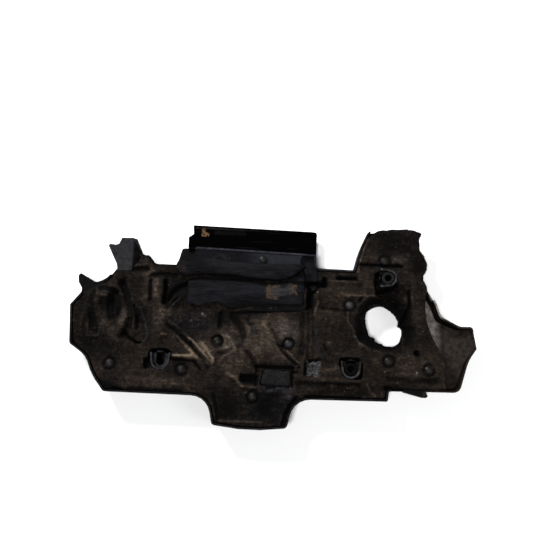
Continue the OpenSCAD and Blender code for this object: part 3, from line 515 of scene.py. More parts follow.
class Board:
    """Lays out the nodes of one material or node group."""

    def __init__(self, tree):
        self.tree = tree

    def add(self, kind, inputs=None, **settings):
        node = self.tree.nodes.new(kind)
        for key, value in settings.items():
            setattr(node, key, value)
        for key, value in (inputs or {}).items():
            self.feed(node.inputs[key], value)
        return node

    def feed(self, socket, value):
        if isinstance(value, bpy.types.NodeSocket):
            self.tree.links.new(value, socket)
        elif isinstance(value, (tuple, list)) and len(value) == 3 and socket.type == "RGBA":
            socket.default_value = (*value, 1)
        else:
            socket.default_value = value

    def sum(self, a, b, how="ADD"):
        return self.add("ShaderNodeMath", {0: a, 1: b}, operation=how).outputs[0]

    def times(self, a, b):
        return self.sum(a, b, "MULTIPLY")

    def vector(self, how, *inputs):
        return self.add("ShaderNodeVectorMath", dict(enumerate(inputs)), operation=how).outputs

    def step(self, value, low, high, to_low=0.0, to_high=1.0):
        """Smooth change from to_low to to_high as value goes from low to high."""
        node = self.add("ShaderNodeMapRange", {
            "Value": value, "From Min": low, "From Max": high, "To Min": to_low, "To Max": to_high,
        }, interpolation_type="SMOOTHSTEP")
        return node.outputs["Result"]

    def blend(self, share, a, b):
        return self.add("ShaderNodeMix", {0: share, 6: a, 7: b}, data_type="RGBA").outputs[2]

    def noise(self, place, scale, detail, rough=0.55):
        node = self.add("ShaderNodeTexNoise", {
            "Vector": place, "Scale": scale, "Detail": detail, "Roughness": rough,
        })
        return node.outputs["Fac"]

    def turned(self, place, turn=0.0, scale=(1, 1, 1)):
        """Coordinates turned about the upright axis and stretched."""
        return self.add("ShaderNodeMapping", {
            "Vector": place, "Rotation": (0, 0, turn), "Scale": scale}).outputs[0]


def new_group(name, inputs, outputs):
    """A shader node group with named inputs and outputs."""
    group = bpy.data.node_groups.new(name, "ShaderNodeTree")
    for label, kind, value in inputs:
        socket = group.interface.new_socket(label, in_out="INPUT", socket_type=kind)
        if value is not None:
            socket.default_value = value
    for label, kind in outputs:
        group.interface.new_socket(label, in_out="OUTPUT", socket_type=kind)
    board = Board(group)
    return group, board, board.add("NodeGroupInput"), board.add("NodeGroupOutput")


def make_zone_group():
    """Mask that is 1 inside a box between two corners, and fades out over a soft edge."""
    group, board, given, out = new_group("zone", [
        ("Place", "NodeSocketVector", None), ("Low", "NodeSocketVector", (0, 0, 0)),
        ("High", "NodeSocketVector", (1, 1, 1)), ("Soft", "NodeSocketFloat", 0.003),
    ], [("Mask", "NodeSocketFloat")])
    place, low, high = (
        board.add("ShaderNodeSeparateXYZ", {0: given.outputs[name]}) for name in ("Place", "Low", "High"))
    soft = given.outputs["Soft"]
    mask = None
    for axis in range(3):
        inner = board.sum(place.outputs[axis], low.outputs[axis], "SUBTRACT")
        outer = board.sum(high.outputs[axis], place.outputs[axis], "SUBTRACT")
        both = board.times(board.step(inner, 0.0, soft), board.step(outer, 0.0, soft))
        mask = both if mask is None else board.times(mask, both)
    board.feed(out.inputs["Mask"], mask)
    return group


# Dirt: noise and limits of each of its parts
STAIN_NOISE, STAIN_STEP = (5.0, 0.6), (0.3, 0.7)
MOTTLE_NOISE, MOTTLE_STEP = (6.0, 0.65), (0.32, 0.68)
CRUMB_STEP, CRUMB_RARITY = (0.16, 0.30, 1.0, 0.0), (0.72, 0.8)
CRUMB_FIELD_NOISE, CRUMB_FIELD_STEP = (60.0, 3.0), (0.56, 0.70)
# Hair scratches: turn in radians and stretch
SCRATCHES = ((0.35, (14.0, 420.0, 100.0)), (1.2, (10.0, 360.0, 100.0)))
SCRATCH_NOISE, SCRATCH_STEP = (1.0, 2.0, 0.5), (0.66, 0.72)
GRAIN_NOISE = (2.0, 0.5)


def make_dirt_group():
    """Uneven dirt: broad stains, small mottling and scattered crumbs."""
    group, board, given, out = new_group("dirt", [
        ("Place", "NodeSocketVector", None), ("Stain Scale", "NodeSocketFloat", 22.0),
        ("Mottle Scale", "NodeSocketFloat", 120.0), ("Crumb Scale", "NodeSocketFloat", 260.0),
    ], [("Stain", "NodeSocketFloat"), ("Mottle", "NodeSocketFloat"), ("Crumbs", "NodeSocketFloat")])
    place = given.outputs["Place"]
    stain = board.noise(place, given.outputs["Stain Scale"], *STAIN_NOISE)
    mottle = board.noise(place, given.outputs["Mottle Scale"], *MOTTLE_NOISE)
    cells = board.add("ShaderNodeTexVoronoi", {"Vector": place, "Scale": given.outputs["Crumb Scale"]})
    crumb = board.step(cells.outputs["Distance"], *CRUMB_STEP)
    some = board.step(board.noise(place, *CRUMB_FIELD_NOISE), *CRUMB_FIELD_STEP)
    draw = board.add("ShaderNodeSeparateColor", {0: cells.outputs["Color"]}).outputs[0]
    rare = board.step(draw, *CRUMB_RARITY)
    board.feed(out.inputs["Stain"], board.step(stain, *STAIN_STEP))
    board.feed(out.inputs["Mottle"], board.step(mottle, *MOTTLE_STEP))
    board.feed(out.inputs["Crumbs"], board.times(board.times(crumb, some), rare))
    return group


def make_grain_group():
    """Fine surface grain, and hair scratches that run in two directions."""
    group, board, given, out = new_group("grain", [
        ("Place", "NodeSocketVector", None), ("Grain Scale", "NodeSocketFloat", 900.0),
    ], [("Grain", "NodeSocketFloat"), ("Scratches", "NodeSocketFloat")])
    place = given.outputs["Place"]
    grain = board.noise(place, given.outputs["Grain Scale"], *GRAIN_NOISE)
    lines = None
    for turn, stretch in SCRATCHES:
        streak = board.step(board.noise(board.turned(place, turn, stretch), *SCRATCH_NOISE), *SCRATCH_STEP)
        lines = streak if lines is None else board.sum(lines, streak, "MAXIMUM")
    board.feed(out.inputs["Grain"], grain)
    board.feed(out.inputs["Scratches"], lines)
    return group


ZONE = make_zone_group()
DIRT = make_dirt_group()
GRAIN = make_grain_group()


def seen(red, green, blue):
    """Base colour that looks like this screen colour, 0 to 255, under the studio's light."""
    def linear(value):
        value /= 255
        return value / 12.92 if value <= 0.04045 else ((value + 0.055) / 1.055) ** 2.4
    return tuple(linear(value) / STUDIO_GAIN for value in (red, green, blue))


class Surface(Board):
    """Board of one material, with its shader and the object's coordinates. Looks are screen colours."""

    def __init__(self, name, shine=None):
        self.material = bpy.data.materials.new(name)
        self.material.use_nodes = True
        super().__init__(self.material.node_tree)
        self.shader = self.tree.nodes["Principled BSDF"]
        self.place = self.add("ShaderNodeTexCoord").outputs["Object"]
        if shine is not None:
            self.shader.inputs["Specular IOR Level"].default_value = shine

    def upright(self):
        """How much the surface faces upwards: 1 straight up, 0 on a side."""
        normal = self.add("ShaderNodeTexCoord").outputs["Normal"]
        return self.add("ShaderNodeSeparateXYZ", {0: normal}).outputs[2]

    def attribute(self, name):
        return self.add("ShaderNodeAttribute", attribute_name=name).outputs["Fac"]

    def effect(self, group, **values):
        node = self.add("ShaderNodeGroup", node_tree=group)
        self.feed(node.inputs["Place"], self.place)
        for key, value in values.items():
            node.inputs[key.replace("_", " ")].default_value = value
        return node.outputs

    def dirt(self, stain, mottle, crumb):
        """Outputs of the dirt group, by the scales of its stains, mottling and crumbs."""
        return self.effect(DIRT, Stain_Scale=stain, Mottle_Scale=mottle, Crumb_Scale=crumb)

    def zone(self, low, high, soft, place=None):
        """Mask of a box; its corners and soft edge are in millimetres."""
        node = self.add("ShaderNodeGroup", node_tree=ZONE)
        self.feed(node.inputs["Place"], self.place if place is None else place)
        node.inputs["Low"].default_value = [v * MM for v in low]
        node.inputs["High"].default_value = [v * MM for v in high]
        node.inputs["Soft"].default_value = soft * MM
        return node.outputs["Mask"]

    def shaded(self, grain, dark, light):
        """Colour that goes from a dark to a light look with the grain."""
        return self.blend(grain, seen(*dark), seen(*light))

    def paint(self, colour, share, grain, dark, light):
        return self.blend(share, colour, self.shaded(grain, dark, light))

    def tint(self, colour, share, look):
        return self.blend(share, colour, seen(*look))

    def scale(self, value, stops):
        """Colour read from a scale of positions and looks."""
        ramp = self.add("ShaderNodeValToRGB", {"Fac": value})
        marks = ramp.color_ramp.elements
        marks[0].position, marks[1].position = stops[0][0], stops[-1][0]
        for position, look in stops[1:-1]:
            marks.new(position)
        for mark, (position, look) in zip(marks, stops):
            mark.color = (*seen(*look), 1)
        return ramp.outputs["Color"]

    def finish(self, colour, rough, *layers):
        """Feeds the shader. A layer of bumps is its height, distance in millimetres and strength."""
        normal = None
        for value, distance, strength in layers:
            node = self.add("ShaderNodeBump", {
                "Height": value, "Distance": distance * MM, "Strength": strength})
            if normal is not None:
                self.feed(node.inputs["Normal"], normal)
            normal = node.outputs["Normal"]
        for name, value in (("Base Color", colour), ("Roughness", rough), ("Normal", normal)):
            self.feed(self.shader.inputs[name], value)
        return self.material


# ---------------------------------------------------------------- materials
# A zone is its low corner, its high corner and its softness, in millimetres. Noise is given by its
# scale, detail and roughness, and a step by the values where it starts and ends.

FELT_SHINE, FELT_DIRT, FELT_ROUGHNESS = 0.05, (24.0, 150.0, 230.0), (0.72, 0.95)
FUZZ_NOISE, FUZZ_STEP = (430.0, 6.0, 0.75), (0.34, 0.66)
# Drawn streaks of the felt: turn in radians, stretch, noise and step
DRAWN_TURN, DRAWN_STRETCH = 0.8, (45, 260, 100)
DRAWN_NOISE, DRAWN_STEP = (1.0, 4.0, 0.6), (0.36, 0.64)
# How much streaks, stains, mottling and fuzz change the felt's tone
FELT_SHARES = (0.10, 0.2, 0.22, 0.24)
BROWN_SCALE = (
    (0.05, (5, 4, 4)), (0.25, (17, 14, 12)), (0.42, (38, 32, 28)), (0.6, (60, 51, 44)), (0.8, (92, 80, 69)),
    (1.0, (140, 124, 106)))
GREY_SCALE = (
    (0.05, (5, 5, 6)), (0.25, (15, 15, 17)), (0.42, (34, 34, 38)), (0.6, (56, 57, 63)), (0.8, (86, 88, 96)),
    (1.0, (130, 134, 144)))
TORN_DARK, TORN_LIGHT = (13, 13, 14), (150, 148, 152)
FELT_CRUMBS, FELT_CRUMB_SHARE = (124, 106, 84), 0.6


def felt_skin():
    """Skin of the moulded mat: brown with dirt and dust, with painted highlights on ridges and painted shade
    in creases, hollows and under the foam roll, and cooler grey where the skin is bare and in cool patches,
    some of them a painted bluish highlight on ridges.
    """
    board = Surface("felt_skin", FELT_SHINE)
    dirt = board.dirt(*FELT_DIRT)
    shade, cool, bare = board.attribute("tone"), board.attribute("cool"), board.attribute("bare")
    fuzz = board.step(board.noise(board.place, *FUZZ_NOISE), *FUZZ_STEP)
    turned = board.turned(board.place, DRAWN_TURN, DRAWN_STRETCH)
    drawn = board.step(board.noise(turned, *DRAWN_NOISE), *DRAWN_STEP)
    for value, share in zip((drawn, dirt["Stain"], dirt["Mottle"], fuzz), FELT_SHARES):
        shade = board.sum(shade, board.times(board.sum(value, 0.5, "SUBTRACT"), share))
    colour = board.blend(cool, board.scale(shade, BROWN_SCALE), board.scale(shade, GREY_SCALE))
    colour = board.paint(colour, bare, board.times(fuzz, dirt["Mottle"]), TORN_DARK, TORN_LIGHT)
    colour = board.tint(colour, board.times(dirt["Crumbs"], FELT_CRUMB_SHARE), FELT_CRUMBS)
    return board.finish(
        colour, board.step(dirt["Mottle"], 0.0, 1.0, *FELT_ROUGHNESS),
        (dirt["Mottle"], 1.4, 0.8), (fuzz, 0.6, 0.8), (dirt["Crumbs"], 0.8, 0.5))


ROLL_SHINE, ROLL_DIRT, ROLL_ROUGHNESS = 0.03, (20.0, 110.0, 240.0), (0.65, 0.9)
FIBRE_STRETCH = (0.16, 1.0, 1.0)
FIBRE_NOISE, FIBRE_STEP, FIBRE_SHARE = (420.0, 5.0, 0.65), (0.3, 0.7), 0.55
STREAK_NOISE, STREAK_STEP, STREAK_SHARE = (90.0, 4.0, 0.6), (0.32, 0.68), 0.45
COOL_LOOKS, OLIVE_LOOKS = ((8, 8, 10), (42, 42, 47)), ((12, 10, 9), (50, 45, 41))
OLIVE_ZONE, OLIVE_LEAST = ((-110, 66, 0), (60, 125, 90), 50), 0.3
COOL_END, COOL_END_SHARE, COOL_END_LOOK = ((-160, 66, 0), (-96, 125, 90), 20), 0.55, (9, 9, 11)
LAYER_ZONE, LAYER_SHARE, LAYER_LOOKS = ((-80, 8, 0), (62, 39, 90), 12), 0.7, ((4, 4, 4), (20, 18, 17))
LOBE_ZONE, LOBE_LOOK = ((-160, 70, 0), (-134, 96, 90), 8), (48, 38, 32)
# Painted shade in the seam where the roll meets the strip
SEAM_SHADE_ZONE, SEAM_SHADE_SHARE, SEAM_SHADE_LOOK = ((-150, 62, 0), (62, 70, 90), 3), 0.8, (6, 6, 6)
PAD_ZONE, PAD_SHARE, PAD_LOOKS = ((-2, 44, 0), (28, 57, 90), 1.2), 0.85, ((46, 45, 48), (70, 68, 71))
SCRAP_ZONE, SCRAP_SHARE, SCRAP_LOOKS = ((8, 58, 0), (27, 65, 90), 1.0), 0.8, ((22, 22, 24), (52, 51, 54))
RUST_ZONES = (((-12, 38, 0), (9, 61, 90), 2.0), ((22, 45, 0), (36, 61, 90), 2.0))
RUST_LOOK, RUST_NOISE, RUST_STEP = (84, 71, 57), (150.0, 5.0, 0.7), (0.3, 0.56)
# The pad's ragged outline: noise that shifts the coordinates, and how far, in metres
SWIRL_SCALE, SWIRL_DETAIL, SWIRL_SHIFT = 90.0, 4.0, (0.022, 0.022, 0)
ROLL_CRUMBS, ROLL_CRUMB_SHARE = (90, 78, 66), 0.3
# Painted shade on the foam's sides: how upright they are there, and the shares
ROLL_SIDE_SHADE, ROLL_SIDE_SHADE_LOOK = (0.2, 0.75, 0.8, 0.0), (6, 6, 6)


def rolled_foam():
    """Dark foam with drawn fibres along the cover, cool grey with olive dirt, with painted shade in its seam
    and on its sides.
    """
    board = Surface("rolled_foam", ROLL_SHINE)
    dirt = board.dirt(*ROLL_DIRT)
    drawn = board.turned(board.place, scale=FIBRE_STRETCH)
    fibres = board.step(board.noise(drawn, *FIBRE_NOISE), *FIBRE_STEP)
    streaks = board.step(board.noise(drawn, *STREAK_NOISE), *STREAK_STEP)
    shade = board.sum(board.times(fibres, FIBRE_SHARE), board.times(streaks, STREAK_SHARE))
    colour = board.shaded(shade, *COOL_LOOKS)
    colour = board.tint(colour, board.times(board.zone(*COOL_END), COOL_END_SHARE), COOL_END_LOOK)
    olive = board.times(board.sum(dirt["Stain"], OLIVE_LEAST), board.zone(*OLIVE_ZONE))
    colour = board.paint(colour, olive, shade, *OLIVE_LOOKS)
    colour = board.paint(colour, board.times(board.zone(*LAYER_ZONE), LAYER_SHARE), shade, *LAYER_LOOKS)
    colour = board.tint(colour, board.times(board.zone(*LOBE_ZONE), dirt["Mottle"]), LOBE_LOOK)
    # Painted shade in the seam between roll and strip
    colour = board.tint(colour, board.times(board.zone(*SEAM_SHADE_ZONE), SEAM_SHADE_SHARE), SEAM_SHADE_LOOK)

    swirl = board.add("ShaderNodeTexNoise", {
        "Vector": board.place, "Scale": SWIRL_SCALE, "Detail": SWIRL_DETAIL}).outputs["Color"]
    swirl = board.vector("SUBTRACT", swirl, (0.5, 0.5, 0.5))[0]
    uneven = board.vector("MULTIPLY_ADD", swirl, SWIRL_SHIFT, board.place)[0]
    rust = board.sum(*(board.zone(*box, uneven) for box in RUST_ZONES), "MAXIMUM")
    flaky = board.step(board.noise(board.place, *RUST_NOISE), *RUST_STEP)
    colour = board.tint(colour, board.times(rust, flaky), RUST_LOOK)
    for box, share, looks in (
        (SCRAP_ZONE, SCRAP_SHARE, SCRAP_LOOKS), (PAD_ZONE, PAD_SHARE, PAD_LOOKS),
    ):
        colour = board.paint(colour, board.times(board.zone(*box, uneven), share), fibres, *looks)

    colour = board.tint(colour, board.times(dirt["Crumbs"], ROLL_CRUMB_SHARE), ROLL_CRUMBS)
    # Painted shade on the foam's sides
    colour = board.tint(colour, board.step(board.upright(), *ROLL_SIDE_SHADE), ROLL_SIDE_SHADE_LOOK)
    return board.finish(
        colour, board.step(fibres, 0.0, 1.0, *ROLL_ROUGHNESS),
        (streaks, 2.2, 0.7), (fibres, 0.7, 0.8), (dirt["Mottle"], 0.8, 0.5))


BLOCK_SHINE, BLOCK_DIRT, BLOCK_ROUGHNESS = 0.04, (45.0, 240.0, 420.0), (0.8, 0.95)
BLOCK_LOOKS, BLOCK_STAIN, BLOCK_STAIN_SHARE = ((24, 24, 25), (52, 52, 54)), (30, 28, 27), 0.4
PORE_SCALE, PORE_STEP, PORE_LOOK = 620.0, (0.12, 0.5), (10, 10, 10)


def grey_foam():
    """Open foam of the front block, with its pores coloured dark and stains of dirt."""
    board = Surface("grey_foam", BLOCK_SHINE)
    dirt = board.dirt(*BLOCK_DIRT)
    pores = board.add("ShaderNodeTexVoronoi", {"Vector": board.place, "Scale": PORE_SCALE})
    solid = board.step(pores.outputs["Distance"], *PORE_STEP)
    colour = board.shaded(dirt["Mottle"], *BLOCK_LOOKS)
    colour = board.tint(colour, board.times(dirt["Stain"], BLOCK_STAIN_SHARE), BLOCK_STAIN)
    colour = board.blend(solid, seen(*PORE_LOOK), colour)
    return board.finish(
        colour, board.step(dirt["Mottle"], 0.0, 1.0, *BLOCK_ROUGHNESS),
        (dirt["Mottle"], 1.0, 0.6), (solid, 0.5, 0.7))


SHELL_DIRT, SHELL_GRAIN, SHELL_LOOKS = (24.0, 130.0, 260.0), 1100.0, ((9, 9, 9), (22, 20, 20))
DUST_ZONE, DUST_SHARE, DUST_LOOKS = ((-320, -170, 2.5), (320, 118, 50), 2), 0.6, ((16, 13, 12), (40, 34, 30))
# Zones of the shell: low corner, high corner, softness, share, dark and light look.
# Those of the wing lie on its open side alone.
WING_ZONES = (
    ((232, -112, 2.5), (320, 60, 60), 5, 1.0, (36, 31, 28), (64, 56, 51)),
    ((250, -112, 2.5), (300, -50, 60), 14, 0.8, (24, 20, 17), (50, 43, 37)),
    # Painted light beside the mat's edge, which lifts the mat's shadow off the wing there
    ((234, -48, -20), (270, 60, 90), 12, 0.95, (104, 99, 97), (176, 168, 162)),
    ((256, 0, 2.5), (276, 18, 60), 6, 0.6, (12, 11, 12), (40, 38, 38)),
)
SHELL_ZONES = (
    ((-134, 86, 39), (72, 125, 46), 1.5, 1.0, (9, 9, 12), (18, 17, 23)),
    ((-60, 40, -60), (160, 170, 150), 50, 0.95, (36, 37, 43), (47, 48, 55)),
    ((36, 68, 26), (72, 114, 41), 2, 1.0, (12, 12, 14), (26, 26, 30)),
    ((-145, 103, 9), (-126, 121, 23), 2, 1.0, (2, 2, 3), (10, 10, 12)),
    ((-268, 74, 30), (-205, 132, 46), 3, 1.0, (32, 31, 34), (56, 54, 58)),
    # Painted shade on the bracket's right slope
    ((-228, 74, 25), (-203, 132, 46), 4, 1.0, (8, 7, 7), (20, 18, 18)),
    ((-322, 36, 8), (-272, 82, 36), 3, 1.0, (1, 1, 1), (6, 6, 6)),
    ((-186, -80, 2.5), (-156, -46, 39.5), 1.5, 1.0, (26, 26, 27), (58, 58, 60)),
    # Painted highlights on the rims of the three socket cups
    ((-188.5, -80.5, 39.8), (-153.5, -45.5, 43), 0.7, 0.95, (20, 20, 23), (66, 67, 74)),
    ((104.5, -82.5, 40.8), (139.5, -47.5, 44), 0.7, 0.95, (20, 20, 21), (84, 84, 86)),
    ((158, 58, 58.8), (194, 94, 62), 0.7, 0.95, (26, 26, 27), (94, 95, 96)),
    # Painted highlights on all top rims of the shell
    ((-340, -180, 42.6), (340, 180, 46), 0.8, 0.35, (24, 23, 25), (64, 63, 68)),
)
OPEN_SIDE = (0.0, 0.3)
PANEL_ZONE, PANEL_LOOKS = ((-150, 117, 9), (70, 170, 24), 1.0), ((1, 1, 2), (44, 44, 50))
SCRATCH_SHARE, PANEL_CALM, PANEL_SHINE, SHELL_SHINE = 0.2, 0.92, 0.02, 0.035
PANEL_ROUGHNESS, SHELL_ROUGHNESS = 0.14, (0.42, 0.68)
WORN_ZONE, WORN_SHARE, WORN_LOOKS = ((-103, 148, 9), (-50, 157.5, 24), 1.5), 0.9, ((13, 12, 12), (22, 20, 20))
# The ledge's front edge, which runs slightly askew to the cover: turn in radians
LEDGE_SLANT = 0.0194
# Painted highlight along this edge: zone and share, then its dark and light look
LEDGE_HIGHLIGHT_ZONE, LEDGE_HIGHLIGHT_SHARE = ((-131, 112.6, 40.5), (44, 116.2, 44.5), 0.8), 0.75
LEDGE_HIGHLIGHT_LOOKS = ((50, 52, 60), (86, 88, 99))
# The remains of glue on the panel: an L shape, from one box less another
GLUE_BOX, GLUE_GAP = ((-123.5, 144, 10), (-110, 159.5, 30), 1.5), ((-117, 151, 10), (-104, 166, 30), 1.5)
GLUE_LOOK, GLUE_NOISE, GLUE_STEP = (118, 92, 66), (260.0, 4.0, 0.6), (0.38, 0.5)
SHELL_CRUMBS, SHELL_CRUMB_SHARE = (96, 86, 76), 0.5


def moulded_plastic():
    """Black moulded shell: dusty satin inside, gloss black panel, cool grey ledge and bracket, painted
    highlights on its rims and along the ledge's edge, painted light on the wing by the mat and painted shade
    on the bracket's right slope.
    """
    board = Surface("moulded_plastic")
    dirt = board.dirt(*SHELL_DIRT)
    grain = board.effect(GRAIN, Grain_Scale=SHELL_GRAIN)
    mottle = dirt["Mottle"]
    colour = board.shaded(mottle, *SHELL_LOOKS)
    dust = board.times(board.times(dirt["Stain"], board.zone(*DUST_ZONE)), DUST_SHARE)
    colour = board.paint(colour, dust, mottle, *DUST_LOOKS)
    open_side = board.step(board.upright(), *OPEN_SIDE)
    for zones, side in ((WING_ZONES, open_side), (SHELL_ZONES, 1.0)):
        for low, high, soft, share, dark, light in zones:
            here = board.times(board.times(board.zone(low, high, soft), share), side)
            colour = board.paint(colour, here, mottle, dark, light)
    panel = board.zone(*PANEL_ZONE)
    scratched = board.times(grain["Scratches"], SCRATCH_SHARE)
    colour = board.paint(colour, panel, scratched, *PANEL_LOOKS)
    colour = board.paint(colour, board.times(board.zone(*WORN_ZONE), WORN_SHARE), mottle, *WORN_LOOKS)
    # Painted highlight along the ledge's edge
    edge = board.zone(*LEDGE_HIGHLIGHT_ZONE, board.turned(board.place, LEDGE_SLANT))
    colour = board.paint(colour, board.times(edge, LEDGE_HIGHLIGHT_SHARE), mottle, *LEDGE_HIGHLIGHT_LOOKS)
    glue = board.sum(board.zone(*GLUE_BOX), board.zone(*GLUE_GAP), "SUBTRACT")
    flaky = board.step(board.noise(board.place, *GLUE_NOISE), *GLUE_STEP)
    colour = board.tint(colour, board.times(glue, flaky), GLUE_LOOK)
    calm = board.sum(1.0, board.times(panel, PANEL_CALM), "SUBTRACT")
    crumbs = board.times(board.times(dirt["Crumbs"], SHELL_CRUMB_SHARE), calm)
    colour = board.tint(colour, crumbs, SHELL_CRUMBS)
    shine = board.sum(board.times(panel, PANEL_SHINE), SHELL_SHINE)
    board.feed(board.shader.inputs["Specular IOR Level"], shine)
    satin = board.step(mottle, 0.0, 1.0, *SHELL_ROUGHNESS)
    rough = board.add("ShaderNodeMix", {0: panel, 2: satin, 3: board.sum(scratched, PANEL_ROUGHNESS)})
    return board.finish(
        colour, rough.outputs[0],
        (board.times(grain["Grain"], calm), 0.15, 0.5), (board.times(mottle, calm), 0.5, 0.5))


RUBBER_SHINE, RUBBER_DIRT, RUBBER_ROUGHNESS = 0.04, (90.0, 420.0, 700.0), (0.5, 0.8)
RUBBER_LOOKS = ((14, 14, 14), (52, 52, 53))
FRONT_GROMMET, FRONT_SHARE, FRONT_LOOK = ((100, -90, 0), (145, -40, 90), 2), 0.95, (2, 2, 2)
# Middles of the two bores in millimetres, and the radii in metres between which their painted shade ends
BORES, BORE_SHADE_STEP, BORE_SHADE_LOOK = ((122, -65), (176, 76)), (0.0046, 0.0062, 1.0, 0.0), (5, 5, 6)


def dusty_rubber():
    """Rubber of the grommets, dusty on its face, with painted shade that blackens its bore."""
    board = Surface("dusty_rubber", RUBBER_SHINE)
    mottle = board.dirt(*RUBBER_DIRT)["Mottle"]
    colour = board.shaded(mottle, *RUBBER_LOOKS)
    colour = board.tint(colour, board.times(board.zone(*FRONT_GROMMET), FRONT_SHARE), FRONT_LOOK)
    bores = None
    for x, y in BORES:
        offset = board.vector("SUBTRACT", board.place, (x * MM, y * MM, 0))[0]
        flat = board.vector("MULTIPLY", offset, (1, 1, 0))[0]
        ring = board.step(board.vector("LENGTH", flat)["Value"], *BORE_SHADE_STEP)
        bores = ring if bores is None else board.sum(bores, ring, "MAXIMUM")
    # Painted shade in the bores
    colour = board.tint(colour, bores, BORE_SHADE_LOOK)
    return board.finish(colour, board.step(mottle, 0.0, 1.0, *RUBBER_ROUGHNESS), (mottle, 0.3, 0.5))


CAP_SHINE, CAP_DIRT, CAP_ROUGHNESS = 0.12, (34.0, 240.0, 520.0), (0.32, 0.62)
CAP_LOOKS, CAP_STAIN, CAP_STAIN_SHARE = ((14, 13, 13), (50, 46, 43)), (32, 27, 24), 0.6
# Caps that look paler or cooler than the rest: middle in millimetres and light look
PALE_CAPS = (
    ((-248, -70), (38, 39, 42)), ((-20, 101), (38, 38, 41)), ((25.5, -30), (70, 72, 77)),
    ((118.5, 34), (88, 87, 86)))
PALE_DARK, PALE_HALF, PALE_LOW, PALE_HIGH, PALE_SOFT = (30, 30, 31), 9, 30, 60, 2
# Painted shade on each cap's sloping edge: how upright the surface is there and the shares, then the shade's
# look
CAP_SIDE_SHADE, CAP_SIDE_SHADE_LOOK = (0.8, 0.985, 0.75, 0.0), (6, 6, 6)


def cap_plastic():
    """Retainer caps: grey-black plastic with a coat of dust, some of them paler than others, with painted
    shade on the sloping edge of each dome.
    """
    board = Surface("cap_plastic", CAP_SHINE)
    dirt = board.dirt(*CAP_DIRT)
    mottle = dirt["Mottle"]
    colour = board.shaded(mottle, *CAP_LOOKS)
    colour = board.tint(colour, board.times(dirt["Stain"], CAP_STAIN_SHARE), CAP_STAIN)
    for (x, y), light in PALE_CAPS:
        low = (x - PALE_HALF, y - PALE_HALF, PALE_LOW)
        high = (x + PALE_HALF, y + PALE_HALF, PALE_HIGH)
        colour = board.paint(colour, board.zone(low, high, PALE_SOFT), mottle, PALE_DARK, light)
    # Painted shade on the sloping edge of each dome
    colour = board.tint(colour, board.step(board.upright(), *CAP_SIDE_SHADE), CAP_SIDE_SHADE_LOOK)
    return board.finish(colour, board.step(mottle, 0.0, 1.0, *CAP_ROUGHNESS), (mottle, 0.35, 0.6))


# ---------------------------------------------------------------- the foam mat, in millimetres

MAT_VOXEL = 1.9
# Pocket of the solid that sits too far forward: middle and size of the foam that fills it
FILLED_POCKET = ((-34, -94.5, 36.4), (27, 12, 12))
# The top skin: points this far below the relief still belong to it, and then fewer and fewer
SKIN_DEPTH, SKIN_FADE, SKIN_FACING = 1.4, 2.2, 2.5
LEVEL_SHARE = 0.8
SIDE_INSET = 0.15
# The mat's base tone; steep faces of the relief turn darker with painted shade, by a share and a power
BASE_TONE, SLOPE_SHADE, SLOPE_POWER = 0.42, 0.55, 1.3
# Raised relief and lumps turn lighter and low ground darker, partly dust and dirt and partly painted light
# and shade; the relief counts up to a limit in millimetres
RELIEF_DUST_AND_SHADE, RELIEF_LIMIT, LUMP_DUST_AND_SHADE = 0.018, 4, 0.02
# Points deeper below the relief than this turn darker with painted shade
DEEP_START, DEEP_REACH, DEEP_SHADE = 2, 8, 0.26
# Dirt, dust and painted light and shade on the mat's skin, among them a broad painted shadow under the foam
# roll and strip: middle, half length, half width, change of tone and coolness
PATCHES = [
    ((-298, 0), 26, 55, -0.18, 0.0), ((-262, -42), 26, 24, -0.18, 0.1),
    ((-252, 16), 11, 24, -0.14, 0.3), ((-216, 0), 8, 20, -0.08, 0.0), ((-45, 80), 115, 42, -0.2, 0.0),
    ((-116, -46), 14, 12, 0.12, 0.0), ((-233, 1), 10, 12, 0.20, 0.1), ((-175, -97), 54, 9, 0.18, 0.0),
    ((-181, 49), 9, 18, 0.20, 0.0), ((-152, 46), 18, 22, -0.2, 0.3), ((-177, 2), 8, 24, 0.16, 0.0),
    ((-222, 70), 20, 20, -0.08, 0.1), ((-122, -2), 36, 20, -0.06, 0.5),
    ((-106, -50), 28, 20, 0.32, 0.0), ((-140, -34), 16, 14, 0.08, 0.0), ((-66, -30), 16, 18, 0.18, 0.1),
    ((-52, -60), 24, 22, 0.05, 0.0), ((-5, -14), 46, 32, 0.24, 0.0), ((-24, -42), 22, 20, 0.12, 0.0),
    ((28, -8), 22, 22, 0.03, 0.3), ((7, -99), 26, 9, 0.08, 1.0), ((-66, -128), 22, 22, -0.17, 0.1),
    ((2, -130), 36, 24, -0.2, 0.6), ((-92, -96), 22, 18, -0.06, 0.2), ((57, -10), 9, 30, 0.18, 0.0),
    ((96, 54), 32, 16, 0.19, 0.0), ((226, -54), 28, 28, 0.16, 0.0), ((190, 112), 18, 8, 0.2, 0.3),
    ((185, 142), 52, 20, -0.18, 0.1), ((228, 105), 14, 30, -0.16, 0.0), ((186, -92), 26, 7, -0.14, 0.0),
    ((105, -98), 40, 8, -0.06, 0.0), ((130, -4), 10, 26, -0.10, 0.2), ((175, 7), 47, 45, -0.08, 0.0),
    ((95, -8), 26, 30, -0.07, 0.0), ((228, 12), 9, 26, 0.1, 0.0), ((-75, 10), 14, 14, -0.14, 0.0),
    ((-172, 12), 12, 12, 0.08, 0.0), ((-125, -102), 6, 5, 0.14, 0.0), ((130, -93), 12, 6, 0.08, 0.0),
    ((-214, 62), 22, 20, 0.02, 0.0), ((-228, -84), 24, 18, 0.03, 0.1), ((150, 62), 14, 18, 0.08, 0.0),
    ((-150, 6), 16, 10, 0.05, 0.0), ((200, 50), 10, 30, 0.04, 0.0), ((-290, -60), 20, 20, -0.04, 0.0),
]
PATCH_SHARPNESS = 1.5
